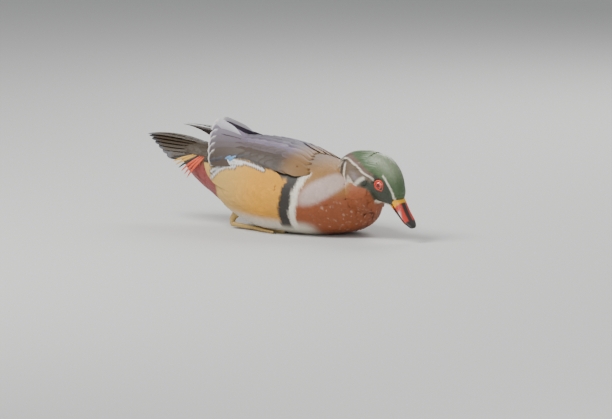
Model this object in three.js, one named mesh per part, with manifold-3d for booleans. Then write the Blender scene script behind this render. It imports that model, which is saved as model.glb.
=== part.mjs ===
// A drake wood duck at life size, sitting on its belly with its bill lowered as if to feed.
// Millimetres. +X runs from the tail to the breast, +Y is the bird's left and +Z is up.
// The belly rests on Z = 0.
import * as THREE from "three";
import { mergeVertices } from "three/addons/utils/BufferGeometryUtils.js";
import Module from "manifold-3d";

const wasm = await Module();
wasm.setup();

// Driving dimensions.
const GAP = 0.3; // between nodes that touch
const MIDDLE_X = -49; // middle of the bird's length, measured from the white shoulder bar
const TAIL_TIP = new THREE.Vector3(-240, 0, 98);
const HEAD_MIDDLE = new THREE.Vector3(103, -18, 66); // midway between the eyes
const HEAD_TURN = -9; // degrees, to the bird's right
const HEAD_NOD = 30; // degrees, bill down
const HEAD_LEAN = 6; // degrees, towards the bird's right
const EYE_RADIUS = 5.4;
const EYE_OUT = 12.9; // from the head's middle plane to the eyeball's centre
const EYE_RING = { radius: 5.5, thick: 1.05, out: 3.1 }; // the lids, laid out from the eye's centre
const RECTRICES = 7; // tail feathers on each side

const RIGHT = 1;
const LEFT = -1;
const SIDES = [
  ["right", RIGHT],
  ["left", LEFT],
];
const rad = THREE.MathUtils.degToRad;
const lerp = THREE.MathUtils.lerp;
const vec = (x, y, z) => new THREE.Vector3(x, y, z);
const mix = (a, b, t) => a.clone().lerp(b, t);

// The same small variations on every run.
let seed = 20;
function vary(amount) {
  seed = (seed * 16807) % 2147483647;
  return ((seed / 2147483647) * 2 - 1) * amount;
}

// A closed surface as a solid, turned inside out first where it needs it.
function solidOf(geometry) {
  const bare = geometry.clone();
  bare.deleteAttribute("normal");
  bare.deleteAttribute("uv");
  const merged = mergeVertices(bare, 1e-4);
  const vertProperties = merged.attributes.position.array;
  const triVerts = new Uint32Array(merged.index.array);
  const solid = new wasm.Manifold(new wasm.Mesh({ numProp: 3, vertProperties, triVerts }));
  if (solid.volume() > 0) return solid;
  for (let i = 0; i < triVerts.length; i += 3) {
    [triVerts[i + 1], triVerts[i + 2]] = [triVerts[i + 2], triVerts[i + 1]];
  }
  return new wasm.Manifold(new wasm.Mesh({ numProp: 3, vertProperties, triVerts }));
}

const joined = (solids) => solids.reduce((whole, piece) => whole.add(piece));

// The largest closed surface of a solid, without scraps.
function largest(solid) {
  const bodies = solid.decompose();
  return bodies.reduce((a, b) => (b.volume() > a.volume() ? b : a));
}

// A named mesh that shows the largest closed surface of a solid.
function meshOf(name, solid, material) {
  const made = largest(solid).getMesh();
  const positions = new Float32Array((made.vertProperties.length / made.numProp) * 3);
  for (let i = 0; i < positions.length / 3; i++) {
    const start = i * made.numProp;
    positions.set(made.vertProperties.subarray(start, start + 3), i * 3);
  }
  const geometry = new THREE.BufferGeometry();
  geometry.setAttribute("position", new THREE.BufferAttribute(positions, 3));
  geometry.setIndex(new THREE.BufferAttribute(made.triVerts, 1));
  geometry.computeVertexNormals();
  const mesh = new THREE.Mesh(geometry, material);
  mesh.name = name;
  return mesh;
}

// A rounded body described by cross-sections from front to back. Each row is
// [place along, half width, top, widest height, bottom], and the first and last rows are the two ends.
class Loft {
  constructor(rows, squareness = [2.1, 2.4], floor = -Infinity) {
    this.rows = rows.map(([x, w, top, mid, low]) => [x, w, top - mid, mid - low, mid]);
    this.squareness = squareness;
    this.floor = floor;
    this.last = rows.length - 1;
  }
  row(i) {
    const mirror = ([x, w, up, down, mid]) => [x, -w, -up, -down, mid];
    if (i < 0) return mirror(this.rows[-i]);
    if (i > this.last) return mirror(this.rows[2 * this.last - i]);
    return this.rows[i];
  }
  section(t) {
    const i = Math.min(Math.floor(t), this.last - 1);
    const s = t - i;
    const [a, b, c, d] = [i - 1, i, i + 1, i + 2].map((k) => this.row(k));
    const spline = (p, q, r, u) =>
      q + 0.5 * s * (r - p + s * (2 * p - 5 * q + 4 * r - u + s * (3 * (q - r) + u - p)));
    return b.map((_, k) => spline(a[k], b[k], c[k], d[k]));
  }
  bare(t, angle) {
    const [x, w, up, down, mid] = this.section(t);
    const c = Math.cos(angle);
    const s = Math.sin(angle);
    const power = 2 / (c > 0 ? this.squareness[0] : this.squareness[1]);
    const y = -w * Math.sign(s) * Math.abs(s) ** power;
    const z = mid + (c > 0 ? up : down) * Math.sign(c) * Math.abs(c) ** power;
    return vec(x, y, z);
  }
  // The point at place t and angle from the top, in radians, towards the bird's right, h above the surface.
  at(t, angle, h = 0) {
    const point = this.bare(t, angle);
    if (h !== 0) {
      const step = 0.03;
      const inner = THREE.MathUtils.clamp(t, step, this.last - step);
      const along = this.bare(inner + step, angle).sub(this.bare(inner - step, angle));
      const around = this.bare(inner, angle + step).sub(this.bare(inner, angle - step));
      const normal = around.cross(along).normalize();
      const end = t < step || t > this.last - step;
      if (end) normal.set(Math.sign(this.rows[0][0] - this.rows[this.last][0]) * (t < step ? 1 : -1), 0, 0);
      if (!end && normal.dot(point.clone().sub(vec(point.x, 0, this.section(t)[4]))) < 0) normal.negate();
      point.addScaledVector(normal, h);
    }
    point.z = Math.max(point.z, this.floor - (h > 0 ? h : 0));
    return point;
  }
  // The place t whose section stands at x.
  place(x) {
    let [low, high] = [0, this.last];
    for (let i = 0; i < 30; i++) {
      const t = (low + high) / 2;
      if (this.section(t)[0] > x) low = t;
      else high = t;
    }
    return (low + high) / 2;
  }
  on(x, degrees, h = 0) {
    return this.at(this.place(x), rad(degrees), h);
  }
  normal(x, degrees) {
    return this.on(x, degrees, 1).sub(this.on(x, degrees, 0)).normalize();
  }
  solid(along, around, grow = 0) {
    const ball = new THREE.SphereGeometry(1, around, along);
    const { position, uv } = ball.attributes;
    for (let i = 0; i < position.count; i++) {
      const t = (1 - uv.getY(i)) * this.last;
      const p = this.at(t, uv.getX(i) * 2 * Math.PI, grow);
      position.setXYZ(i, p.x, p.y, p.z);
    }
    return solidOf(ball);
  }
}

// A plate that lies on a loft between two angles, from height inner to height outer, thin at its edges.
function plate(loft, { fromX, toX, topAngle, lowAngle, inner, outer, along, across, side }, grow = 0) {
  const grid = [];
  for (let i = 0; i <= along; i++) {
    for (let j = 0; j <= across; j++) {
      const u = i / along;
      const v = j / across;
      const x = lerp(fromX + grow, toX - grow, u);
      const spread = grow * 0.9; // degrees, about a grow's width at the body's side
      const angle = lerp(topAngle(u) - spread, lowAngle(u) + spread, v);
      grid.push([loft.on(x, side * angle, inner - 2 * grow), loft.on(x, side * angle, outer(u, v) + grow)]);
    }
  }
  const positions = [];
  const index = [];
  const row = across + 1;
  const count = grid.length;
  [0, 1].forEach((face) => grid.forEach((pair) => positions.push(...pair[face])));
  for (let i = 0; i < along; i++) {
    for (let j = 0; j < across; j++) {
      const a = i * row + j;
      const [b, c, d] = [a + 1, a + row + 1, a + row];
      index.push(a, b, c, a, c, d);
      index.push(count + a, count + c, count + b, count + a, count + d, count + c);
    }
  }
  const rim = [];
  for (let j = 0; j < across; j++) rim.push(j);
  for (let i = 0; i < along; i++) rim.push(i * row + across);
  for (let j = across; j > 0; j--) rim.push(along * row + j);
  for (let i = along; i > 0; i--) rim.push(i * row);
  rim.forEach((a, k) => {
    const b = rim[(k + 1) % rim.length];
    index.push(a, count + a, count + b, a, count + b, b);
  });
  const geometry = new THREE.BufferGeometry();
  geometry.setAttribute("position", new THREE.BufferAttribute(new Float32Array(positions), 3));
  geometry.setIndex(index);
  return solidOf(geometry);
}

const LONG_ROWS = [0, 0.4, 0.75, 0.94];
const SHORT_ROWS = [0, 0.5, 0.88];
const SQUARE_ROWS = [0, 0.45, 0.85, 0.98];
const CREST_ROWS = [0, 0.4, 0.8];

// One feather: a thin tapering vane with a ridge along its shaft. tipShape runs from 2, round, to 5, square.
// outTip is the way its face looks at the tip, arch the bow of its shaft, and slim the share of its
// width that it has at the root.
const VANE = { thick: 1.3, arch: 0, roll: 0, cup: 0.12, tipShape: 2, slim: 0.5, rows: LONG_ROWS };
function vane(options, grow = 0) {
  const { root, tip, out, width, thick, arch, roll, cup, tipShape, slim, rows } = { ...VANE, ...options };
  const outTip = options.outTip ?? out;
  const reach = tip.clone().sub(root);
  const ends = [root, root.clone().addScaledVector(reach, 1 + grow / reach.length())];
  const centre = (t) => mix(ends[0], ends[1], t).addScaledVector(mix(out, outTip, t), arch * 4 * t * (1 - t));
  const positions = [];
  rows.forEach((t) => {
    const c = centre(t);
    const along = centre(t + 0.02).sub(centre(t - 0.02)).normalize();
    const up = mix(out, outTip, t);
    up.addScaledVector(along, -up.dot(along)).normalize().applyAxisAngle(along, roll);
    const side = along.clone().cross(up);
    const start = slim + (1 - slim) * THREE.MathUtils.smoothstep(t, 0, 0.5);
    const end = (1 - Math.max(0, (t - 0.4) / 0.6) ** tipShape) ** 0.5;
    const half = (width / 2) * start * end + grow;
    const deep = (thick / 2) * (1 - 0.5 * t) + grow;
    const edge = c.clone().addScaledVector(up, -cup * half);
    positions.push(...edge.clone().addScaledVector(side, -half));
    positions.push(...c.clone().addScaledVector(up, deep));
    positions.push(...edge.clone().addScaledVector(side, half));
    positions.push(...c.clone().addScaledVector(up, -deep));
  });
  positions.push(...centre(1));
  const index = [0, 1, 2, 0, 2, 3];
  for (let i = 0; i < rows.length - 1; i++) {
    for (let k = 0; k < 4; k++) {
      const a = 4 * i + k;
      const b = 4 * i + ((k + 1) % 4);
      if (k < 2) index.push(a, b + 4, b, a, a + 4, b + 4);
      else index.push(a, a + 4, b, b, a + 4, b + 4);
    }
  }
  const lastRow = 4 * (rows.length - 1);
  for (let k = 0; k < 4; k++) index.push(lastRow + k, 4 * rows.length, lastRow + ((k + 1) % 4));
  const geometry = new THREE.BufferGeometry();
  geometry.setAttribute("position", new THREE.BufferAttribute(new Float32Array(positions), 3));
  geometry.setIndex(index);
  return solidOf(geometry);
}

// A tapering rod between points, such as a toe or a shank.
function rod(points, radii, around = 5) {
  const curve = new THREE.CatmullRomCurve3(points);
  const steps = points.length === 2 ? 1 : 4;
  const ball = new THREE.SphereGeometry(1, around, steps + 2);
  const { position, uv } = ball.attributes;
  for (let i = 0; i < position.count; i++) {
    const ring = Math.round((1 - uv.getY(i)) * (steps + 2));
    const t = THREE.MathUtils.clamp((ring - 1) / steps, 0, 1);
    const end = ring === 0 || ring === steps + 2;
    const along = curve.getTangent(t);
    const side = along.clone().cross(vec(0, 0, 1)).normalize();
    const up = side.clone().cross(along);
    const place = t * (radii.length - 1);
    const low = Math.min(Math.floor(place), radii.length - 2);
    const radius = lerp(radii[low], radii[low + 1], place - low);
    const angle = uv.getX(i) * 2 * Math.PI;
    const p = curve.getPoint(t);
    if (end) p.addScaledVector(along, (ring === 0 ? -0.5 : 0.5) * radius);
    else p.addScaledVector(side, radius * Math.cos(angle)).addScaledVector(up, radius * Math.sin(angle));
    position.setXYZ(i, p.x, p.y, p.z);
  }
  return solidOf(ball);
}

function ball(centre, radii, turn = new THREE.Euler(), detail = [16, 12]) {
  const geometry = new THREE.SphereGeometry(1, ...detail);
  geometry.scale(radii.x, radii.y, radii.z);
  geometry.applyMatrix4(new THREE.Matrix4().makeRotationFromEuler(turn));
  geometry.translate(centre.x, centre.y, centre.z);
  return solidOf(geometry);
}

// A block far larger than the bird, on one side of the plane x = at.
function halfSpace(at, direction) {
  const size = 1000;
  const box = new THREE.BoxGeometry(size, size, size);
  box.translate(at + (direction * size) / 2, 0, 0);
  return solidOf(box);
}

// Body: breast, belly, back, rump and the soft base of the tail, flattened where it rests.
const body = new Loft(
  [
    [78, 0, 42, 42, 42],
    [71, 21, 55, 41, 22],
    [57, 36, 64, 41, 9],
    [36, 50, 77, 42, 2],
    [10, 58, 86, 42, -2],
    [-17, 61.5, 92.5, 43, -3],
    [-45, 61.5, 97, 45, -2.5],
    [-73, 57, 99, 49, 2],
    [-100, 49, 98, 54, 11],
    [-124, 38.5, 95, 60, 24],
    [-146, 29, 92.5, 66, 37],
    [-162, 24, 92.5, 71, 48],
    [-176, 19, 93, 77, 61],
    [-190, 14, 93, 83, 73],
    [-200, 9, 93, 87, 80],
    [-206, 0, 90, 90, 90],
  ],
  [2.1, 2.5],
  0,
);
const TAIL_FROM = -143; // the tail's base begins here
const BODY_ROWS = 26;
const BODY_AROUND = 24;
const bodyMade = new Map();
function bodySolid(grow = 0) {
  if (!bodyMade.has(grow)) bodyMade.set(grow, body.solid(BODY_ROWS, BODY_AROUND, grow));
  return bodyMade.get(grow);
}

// Neck: short and thick, drawn in between the breast and the head.
const NECK = { from: vec(34, -6, 42), to: vec(88, -16, 52), radii: [22, 24, 23, 19] };
function neckForm(grow = 0) {
  const points = [NECK.from, mix(NECK.from, NECK.to, 0.5).add(vec(0, -2, 2)), NECK.to];
  return rod(points, NECK.radii.map((r) => r + grow), 20);
}

// Head, in its own frame, whose origin lies midway between the eyes.
// +X runs towards the bill, +Y is the bird's left and +Z the crown.
const headForm = new Loft(
  [
    [29, 0, -7, -7, -7],
    [26, 8, 1.5, -7, -14.5],
    [19, 12, 12, -6, -18.5],
    [10, 15.2, 20.5, -4, -22],
    [0, 17, 25.5, -3, -25.5],
    [-12, 18.4, 27, -3, -29],
    [-24, 17.8, 24, -3, -31],
    [-35, 13, 16, -3, -28],
    [-41, 0, -4, -4, -4],
  ],
  [2.1, 2.2],
);
const headFrame = new THREE.Matrix4().compose(
  HEAD_MIDDLE,
  new THREE.Quaternion().setFromEuler(new THREE.Euler(rad(HEAD_LEAN), rad(HEAD_NOD), rad(HEAD_TURN), "ZYX")),
  vec(1, 1, 1),
);
const toHead = headFrame.clone().invert();
const inFrame = (solid, matrix) => solid.transform(matrix.elements);
const eyeCentre = (side) => vec(0.5, -side * EYE_OUT, 1);
const eyeAim = (side) => vec(0.26, -side, 0.06).normalize();

function eyeRing(side) {
  const ring = new THREE.TorusGeometry(EYE_RING.radius, EYE_RING.thick, 5, 16);
  ring.applyQuaternion(new THREE.Quaternion().setFromUnitVectors(vec(0, 0, 1), eyeAim(side)));
  const at = eyeCentre(side).addScaledVector(eyeAim(side), EYE_RING.out);
  ring.translate(at.x, at.y, at.z);
  return solidOf(ring);
}
const eyeBall = (side, grow = 0) => {
  const r = EYE_RADIUS + grow;
  return ball(eyeCentre(side), vec(r, r, r), new THREE.Euler(), [12, 9]);
};
function headSolid(grow = 0) {
  const head = headForm.solid(14, 20, grow);
  if (grow) return head;
  const lids = joined(SIDES.map(([, side]) => eyeRing(side)));
  const sockets = joined(SIDES.map(([, side]) => eyeBall(side, GAP)));
  return head.add(lids).subtract(sockets);
}

// Bill: a short deep upper half with a hooked nail and two nostrils, over a flatter lower half.
const upperBill = new Loft(
  [
    [58, 0, -22.5, -22.5, -22.5],
    [55.5, 5, -20.3, -22.6, -24.4],
    [49, 7.8, -17.6, -19.8, -21.6],
    [40, 8.3, -13, -16.6, -18.8],
    [31, 8.7, -6.8, -13, -15.9],
    [24, 9.2, -3, -9.5, -13.4],
    [18, 8, -2, -8, -11.5],
    [16, 0, -7, -7, -7],
  ],
  [2.2, 3],
);
const lowerBill = new Loft(
  [
    [54.2, 0, -23.6, -23.6, -23.6],
    [52, 4.4, -22.6, -23.4, -24.4],
    [46, 6.6, -21, -21.8, -23.4],
    [36, 7.2, -17.9, -18.8, -21],
    [26, 7.6, -14.9, -15.8, -18.6],
    [19, 7, -13, -14.2, -16.8],
    [16, 0, -14, -14, -14],
  ],
  [3, 2.2],
);
function billUpper() {
  const nostrils = [RIGHT, LEFT].map((side) =>
    ball(vec(33.5, -side * 7.3, -10.4), vec(3, 1.6, 1.1), new THREE.Euler(0, rad(30), 0), [10, 8]),
  );
  return upperBill.solid(12, 18).subtract(joined(nostrils)).subtract(headSolid(GAP));
}
const billLower = () =>
  lowerBill.solid(10, 14).subtract(upperBill.solid(12, 18, GAP)).subtract(headSolid(GAP));

// Crest: long narrow feathers swept back from the crown and nape over a soft core.
const crestCore = new Loft([
  [-18, 0, 2, 2, 2],
  [-24, 15.5, 22.5, -2, -28],
  [-38, 14.5, 17, -4, -33],
  [-51, 11.5, 8.5, -8, -35],
  [-61, 7, -1, -13, -32],
  [-66, 0, -17, -17, -17],
]);
const CREST_SINK = 5; // how far its feathers press into the mantle, beyond the core
function crestSolid() {
  const vanes = [];
  const shape = { thick: 1.8, slim: 0.8, tipShape: 2.4, rows: CREST_ROWS };
  const add = (root, tip, out, width, arch) => {
    vanes.push(vane({ root, tip, out: out.normalize(), width, arch, ...shape }));
  };
  [-9, -3, 3, 9].forEach((y) => {
    const drop = Math.abs(y) * 0.4;
    const tip = vec(-69 + drop + vary(1), y * 0.5, -14 - drop);
    add(vec(-16, y, 25.5 - drop), tip, vec(0.4, y / 30, 1), 10, 6.5);
  });
  SIDES.forEach(([, side]) => {
    for (let i = 0; i < 6; i++) {
      const root = vec(-23 - i, -side * (15.5 - 0.3 * i), 15 - 7.5 * i);
      const tip = vec(-70.5 + 0.55 * i ** 2 + vary(0.7), -side * (3.5 + 0.9 * i), -18.5 - 4.3 * i);
      add(root, tip, vec(-0.2, -side, 0.35 - 0.14 * i), 12, 5);
    }
  });
  const bed = joined([bodySolid(GAP), neckForm(GAP)]).subtract(crestRoom(CREST_SINK));
  return joined([crestCore.solid(8, 14), ...vanes]).subtract(headSolid(GAP)).subtract(inFrame(bed, toHead));
}
// The room the crest takes where it presses into the mantle and the neck.
function crestRoom(grow) {
  return inFrame(crestCore.solid(8, 14, grow), headFrame);
}

// Flank: the deep panel of side feathers, with a fringe of long feathers along its upper edge.
const flankEnds = (u) => (1 - u ** 6) * (1 - (1 - u) ** 8); // 1 along most of it, 0 at both ends
const flankPlate = (side) => ({
  fromX: -4,
  toX: -124,
  topAngle: (u) => 66 + 10 * u ** 3,
  lowAngle: (u) => 122 - 26 * u ** 3,
  inner: GAP,
  outer: (u, v) => 0.7 + 3.4 * Math.sin(Math.PI * Math.min(v * 1.15 + 0.08, 1)) ** 0.7 * flankEnds(u),
  along: 9,
  across: 4,
  side,
});
function flankSolid(side, grow = 0) {
  const parts = [plate(body, flankPlate(side), grow)];
  // The tips of the fringe follow the arched line of the panel's upper edge, in degrees from the back.
  [56, 53.5, 52.5, 55.5, 62, 72].forEach((tipAngle, i) => {
    const x = -16 - 14 * i;
    const sweep = 34 + i;
    const root = body.on(x, side * (72 + 2.4 * i), 2.2);
    const tip = body.on(x - sweep, side * tipAngle, 6.6);
    const out = body.normal(x - 10, side * 70);
    const shape = { width: 14, arch: 1.2, thick: 1.6, roll: side * rad(8), tipShape: 2.2, rows: SHORT_ROWS };
    parts.push(vane({ root, tip, out, ...shape }, grow));
  });
  const made = joined(parts);
  return grow ? made : made.subtract(bodySolid(GAP));
}

// Wing: a folded wing in tiers, from primaries at the bottom to scapulars on top, over its own flesh.
const wingArch = (u) => 8 * Math.sin((Math.PI * Math.max(0, u - 0.2)) / 0.8); // degrees, over the flank
const wingPlate = (side) => ({
  fromX: 8,
  toX: -112,
  topAngle: (u) => 13 + 34 * (1 - Math.min(1, u * 3.2)) ** 2,
  lowAngle: (u) => 62 - wingArch(u) - 9 * (1 - Math.min(1, u * 5)) ** 2,
  inner: GAP,
  outer: (u, v) => 0.8 + 4.6 * Math.sin(Math.PI * (0.12 + 0.76 * v)) * Math.min(1, u * 5) ** 0.6,
  along: 7,
  across: 3,
  side,
});
const WING_CORNER = { low: vec(-125, -47, 79), high: vec(-145, -7, 122) };
function wingVanes(side) {
  const vanes = [];
  const place = (v) => vec(v.x, side * v.y, v.z);
  const add = (options) => vanes.push(vane({ ...options, roll: (options.roll ?? 0) * side }));
  // Primaries, whose tips lie over the rump.
  for (let i = 0; i < 3; i++) {
    add({
      root: body.on(-74, side * (22 + 6 * i), 2.5),
      tip: place(vec(-190 + 11 * i, -4 - 3 * i, 112.5 - 2 * i)),
      out: body.normal(-90, side * 20),
      outTip: vec(0, -side * 0.2, 0.98),
      width: 8,
      arch: 5 - 3 * i,
      thick: 1.9,
      tipShape: 3,
      rows: SHORT_ROWS,
    });
  }
  // Secondaries, whose edges make the wing's lower border.
  for (let i = 0; i < 5; i++) {
    const u = i / 4;
    add({
      root: body.on(-24 - 8 * i, side * 47, 2.5),
      tip: place(mix(vec(-80, -54, 81), WING_CORNER.low, u ** 1.5)),
      out: body.normal(-50, side * 55),
      outTip: vec(0, -side * 0.9, 0.4),
      width: 19,
      arch: 2,
      thick: 1.6,
      roll: -0.12,
      tipShape: 3,
      rows: SHORT_ROWS,
    });
  }
  // Tertials, broad and square, which rise clear of the rump at the back.
  for (let i = 0; i < 3; i++) {
    const u = (i + 0.5) / 3;
    add({
      root: body.on(-62 - 4 * i, side * lerp(50, 18, u), 2.5),
      tip: place(mix(WING_CORNER.low, WING_CORNER.high, u).add(vec(-1 - 3 * Math.sin(3 * u), 0, -5 * u))),
      out: body.normal(-80, side * lerp(55, 25, u)),
      outTip: vec(0.1, -side * 0.85, 0.5),
      width: 25,
      arch: lerp(3, -3, u),
      thick: 1.9,
      roll: -0.1,
      tipShape: 7,
      cup: 0.05,
      rows: SQUARE_ROWS,
    });
  }
  // The innermost tertial, blown up on edge.
  add({
    root: body.on(-94, side * 17, 1.5),
    tip: vec(-145, -side * 8, 117),
    out: vec(0, -side, 0.15).normalize(),
    width: 19,
    arch: 0,
    thick: 1.8,
    tipShape: 12,
    cup: 0.05,
    slim: 0.3,
    rows: SQUARE_ROWS,
  });
  // Greater coverts.
  for (let i = 0; i < 4; i++) {
    add({
      root: body.on(-6 - 15 * i, side * 45, 3.2),
      tip: body.on(-46 - 15 * i, side * (52 - 1.5 * i), 5.6 + 0.6 * i),
      out: body.normal(-20 - 15 * i, side * 50),
      width: 20,
      arch: 1,
      thick: 1.6,
      roll: -0.1,
      rows: SHORT_ROWS,
    });
  }
  // Scapulars, in rows from the shoulder down the side of the back.
  [
    [39, 46, 4],
    [20, 26, 3],
  ].forEach(([fromAngle, toAngle, count], row) => {
    for (let i = 0; i < count; i++) {
      const x = 2 - 20 * i - 6 * row;
      add({
        root: body.on(x, side * fromAngle, 3.6),
        tip: body.on(x - 48 + vary(2), side * toAngle, 7 + 0.5 * i),
        out: body.normal(x - 20, side * fromAngle),
        width: 25,
        arch: 1,
        thick: 1.7,
        roll: -0.1,
        rows: SHORT_ROWS,
      });
    }
  });
  return vanes;
}
function wingSolid(side) {
  return joined([plate(body, wingPlate(side)), ...wingVanes(side)])
    .subtract(bodySolid(GAP))
    .subtract(flankSolid(side, GAP));
}

// Tail: the rump's soft base, coverts above and below, the side plumes, and a roofed fan of tail feathers.
function tailVanes() {
  const vanes = [];
  SIDES.forEach(([, side]) => {
    for (let k = 0; k < RECTRICES; k++) {
      const u = k / (RECTRICES - 1);
      const lean = rad(8 + 52 * u);
      const out = vec(0, -side * Math.sin(lean), Math.cos(lean));
      const root = vec(-160, -side * (2.5 + 11 * u), 90 - 6 * u);
      const tip = vec(TAIL_TIP.x + 40 * u ** 1.25, -side * (4 + 20 * u), TAIL_TIP.z - 20 * u ** 1.5);
      const roll = side * 0.1;
      const arch = lerp(4.5, -0.5, u); // the middle ones bow upwards
      const shape = { width: 16, thick: 1.5, tipShape: 3.5, cup: 0.06, rows: SHORT_ROWS };
      vanes.push(vane({ root, tip, out, roll, arch, ...shape }));
    }
    // Coverts over and under the base.
    const covert = { width: 15, arch: 2, thick: 1.7, rows: SHORT_ROWS };
    for (let i = 0; i < 2; i++) {
      const root = body.on(-152 - 6 * i, side * (18 + 30 * i), -0.5);
      const tip = body.on(-190, side * (14 + 32 * i), 4.5);
      vanes.push(vane({ root, tip, out: body.normal(-165, side * (18 + 30 * i)), ...covert }));
    }
    for (let i = 0; i < 2; i++) {
      const root = body.on(-150 - 8 * i, side * (155 - 40 * i), -0.5);
      const tip = vec(-196 - 8 * i, -side * (8 + 8 * i), 74 + 5 * i);
      vanes.push(vane({ root, tip, out: body.normal(-170, side * (155 - 40 * i)), ...covert, width: 19 }));
    }
    // Long hair-like plumes that hang beside the rump.
    for (let i = 0; i < 3; i++) {
      const root = body.on(-150 - 7 * i, side * 62, -1);
      const tip = vec(-170 - 8 * i, -side * (29 - 1.5 * i), 56 + 6 * i);
      const out = vec(0.2, -side, 0.2).normalize();
      vanes.push(vane({ root, tip, out, width: 3, arch: 4.5, thick: 1.8, slim: 0.9, rows: SHORT_ROWS }));
    }
  });
  return vanes;
}
const tailSolid = () => joined([bodySolid(), ...tailVanes()]).intersect(halfSpace(TAIL_FROM - GAP, -1));

// Feet: a shank laid along the floor and three webbed toes, tucked under the side of the belly.
const FOOT = { heel: vec(-104, -30, 5), ball: vec(-74, -33, 3.4) };
function footSolid(side) {
  const place = (x, y, z) => vec(x, side * y, z);
  const { heel, ball: pad } = FOOT;
  const toes = [
    [-34, -25],
    [-27, -35],
    [-36, -45],
  ].map(([x, y]) => vec(x, y, 1.6));
  const parts = [
    rod([place(-96, -27, 21), place(-104, -29, 12), place(heel.x, heel.y, heel.z)], [5.5, 3.6, 2.8]),
    rod([place(heel.x, heel.y, heel.z), place(pad.x, pad.y, pad.z)], [2.8, 2.5]),
    rod([place(pad.x - 2, pad.y + 2, 3), place(pad.x - 9, pad.y + 9, 1.4)], [1.6, 0.8]),
  ];
  toes.forEach((toe) => {
    const middle = mix(pad, toe, 0.5).setZ(2.2);
    const toeLine = [pad, middle, toe].map((p) => place(p.x, p.y, p.z));
    parts.push(rod(toeLine, [2.5, 2, 1.3]));
    const claw = toe.clone().add(mix(pad, toe, 1).sub(pad).setLength(4.5)).setZ(0.8);
    parts.push(rod([place(toe.x, toe.y, 1.4), place(claw.x, claw.y, claw.z)], [1.1, 0.5]));
  });
  for (let i = 0; i < 2; i++) {
    const web = new THREE.Shape();
    const [a, b] = [toes[i], toes[i + 1]];
    const hollow = mix(mix(a, b, 0.5), pad, 0.16);
    web.moveTo(pad.x, side * pad.y);
    web.lineTo(a.x, side * a.y);
    web.quadraticCurveTo(hollow.x, side * hollow.y, b.x, side * b.y);
    const sheet = new THREE.ExtrudeGeometry(web, { depth: 1.1, bevelEnabled: false, curveSegments: 3 });
    parts.push(solidOf(sheet));
  }
  const aboveFloor = new THREE.BoxGeometry(400, 400, 200);
  aboveFloor.translate(0, 0, 100);
  const others = joined([bodySolid(GAP), flankSolid(side, GAP)]);
  return joined(parts).intersect(solidOf(aboveFloor)).subtract(others);
}

// Materials.
function feather(color, metalness = 0.05) {
  return new THREE.MeshStandardMaterial({ color, roughness: 0.7, metalness });
}
const chestnut = feather(0xa8653a);
const neckPink = feather(0xc39a86);
const crown = feather(0x5f7a52, 0.25);
const gold = feather(0xd9a24a);
const wingDark = feather(0x5c5048, 0.2);
const tailDark = feather(0x4d3f2e, 0.1);
const billMaterial = new THREE.MeshStandardMaterial({ color: 0xc8452f, roughness: 0.45 });
const eyeMaterial = new THREE.MeshStandardMaterial({ color: 0xd8231c, roughness: 0.1 });
const footMaterial = new THREE.MeshStandardMaterial({ color: 0xb59a4c, roughness: 0.6 });

// The bird, with its head in a group of its own.
const duck = new THREE.Group();
duck.name = "wood_duck";
duck.position.set(-MIDDLE_X, 0, 0);
const head = new THREE.Group();
head.applyMatrix4(headFrame);
duck.add(head);
head.add(
  meshOf("head", headSolid(), crown),
  meshOf("crest", crestSolid(), crown),
  meshOf("bill_upper", billUpper(), billMaterial),
  meshOf("bill_lower", billLower(), billMaterial),
);
const headInBody = inFrame(headSolid(GAP), headFrame);
const hollow = joined([headInBody, crestRoom(CREST_SINK + GAP)]);
const torso = bodySolid().intersect(halfSpace(TAIL_FROM, 1)).subtract(hollow);
const neck = neckForm().subtract(bodySolid(GAP)).subtract(hollow);
duck.add(
  meshOf("torso", torso, chestnut),
  meshOf("neck", neck, neckPink),
  meshOf("tail", tailSolid(), tailDark),
);
SIDES.forEach(([name, side]) => {
  head.add(meshOf(`eye_${name}`, eyeBall(side), eyeMaterial));
  duck.add(
    meshOf(`flank_${name}`, flankSolid(side), gold),
    meshOf(`wing_${name}`, wingSolid(side), wingDark),
    meshOf(`foot_${name}`, footSolid(side), footMaterial),
  );
});

export default duck;
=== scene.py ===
import bpy
import math
import numpy as np
from mathutils import Matrix, Vector
from mathutils.kdtree import KDTree


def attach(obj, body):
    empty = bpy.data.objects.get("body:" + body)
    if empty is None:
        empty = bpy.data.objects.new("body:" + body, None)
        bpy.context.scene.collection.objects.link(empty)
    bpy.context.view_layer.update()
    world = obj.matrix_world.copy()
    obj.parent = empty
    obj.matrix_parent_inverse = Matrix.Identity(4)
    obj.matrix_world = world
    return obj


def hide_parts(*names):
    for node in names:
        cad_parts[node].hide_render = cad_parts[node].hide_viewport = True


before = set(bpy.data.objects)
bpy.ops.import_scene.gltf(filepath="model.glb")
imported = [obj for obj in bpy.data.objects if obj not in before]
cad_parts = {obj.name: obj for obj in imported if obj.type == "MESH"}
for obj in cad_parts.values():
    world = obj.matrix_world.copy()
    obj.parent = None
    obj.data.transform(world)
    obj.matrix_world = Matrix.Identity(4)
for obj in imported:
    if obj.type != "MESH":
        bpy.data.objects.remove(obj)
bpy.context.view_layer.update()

# Skin: the flesh under the feathers of the breast, belly, neck, head and rump.
# In life it is one soft surface with no seams, so the forms are fused and smoothed into one mesh.
# Sizes are in millimetres from the white shoulder bar, on the bird's middle line, as in the solids.
rng = np.random.default_rng(11)
SHIFT = 49.0
COAT_DEPTH = 2.2
HEAD_COAT_DEPTH = 1.2
LOWEST = 0.0001


def smooth(low, high, value):
    t = np.clip((value - low) / (high - low), 0, 1)
    return t * t * (3 - 2 * t)


def unit(v):
    return v / np.maximum(np.linalg.norm(v, axis=-1, keepdims=True), 1e-9)


def blend(a, b, amount):
    return a + (np.asarray(b) - a) * np.asarray(amount)[..., None]


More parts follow.
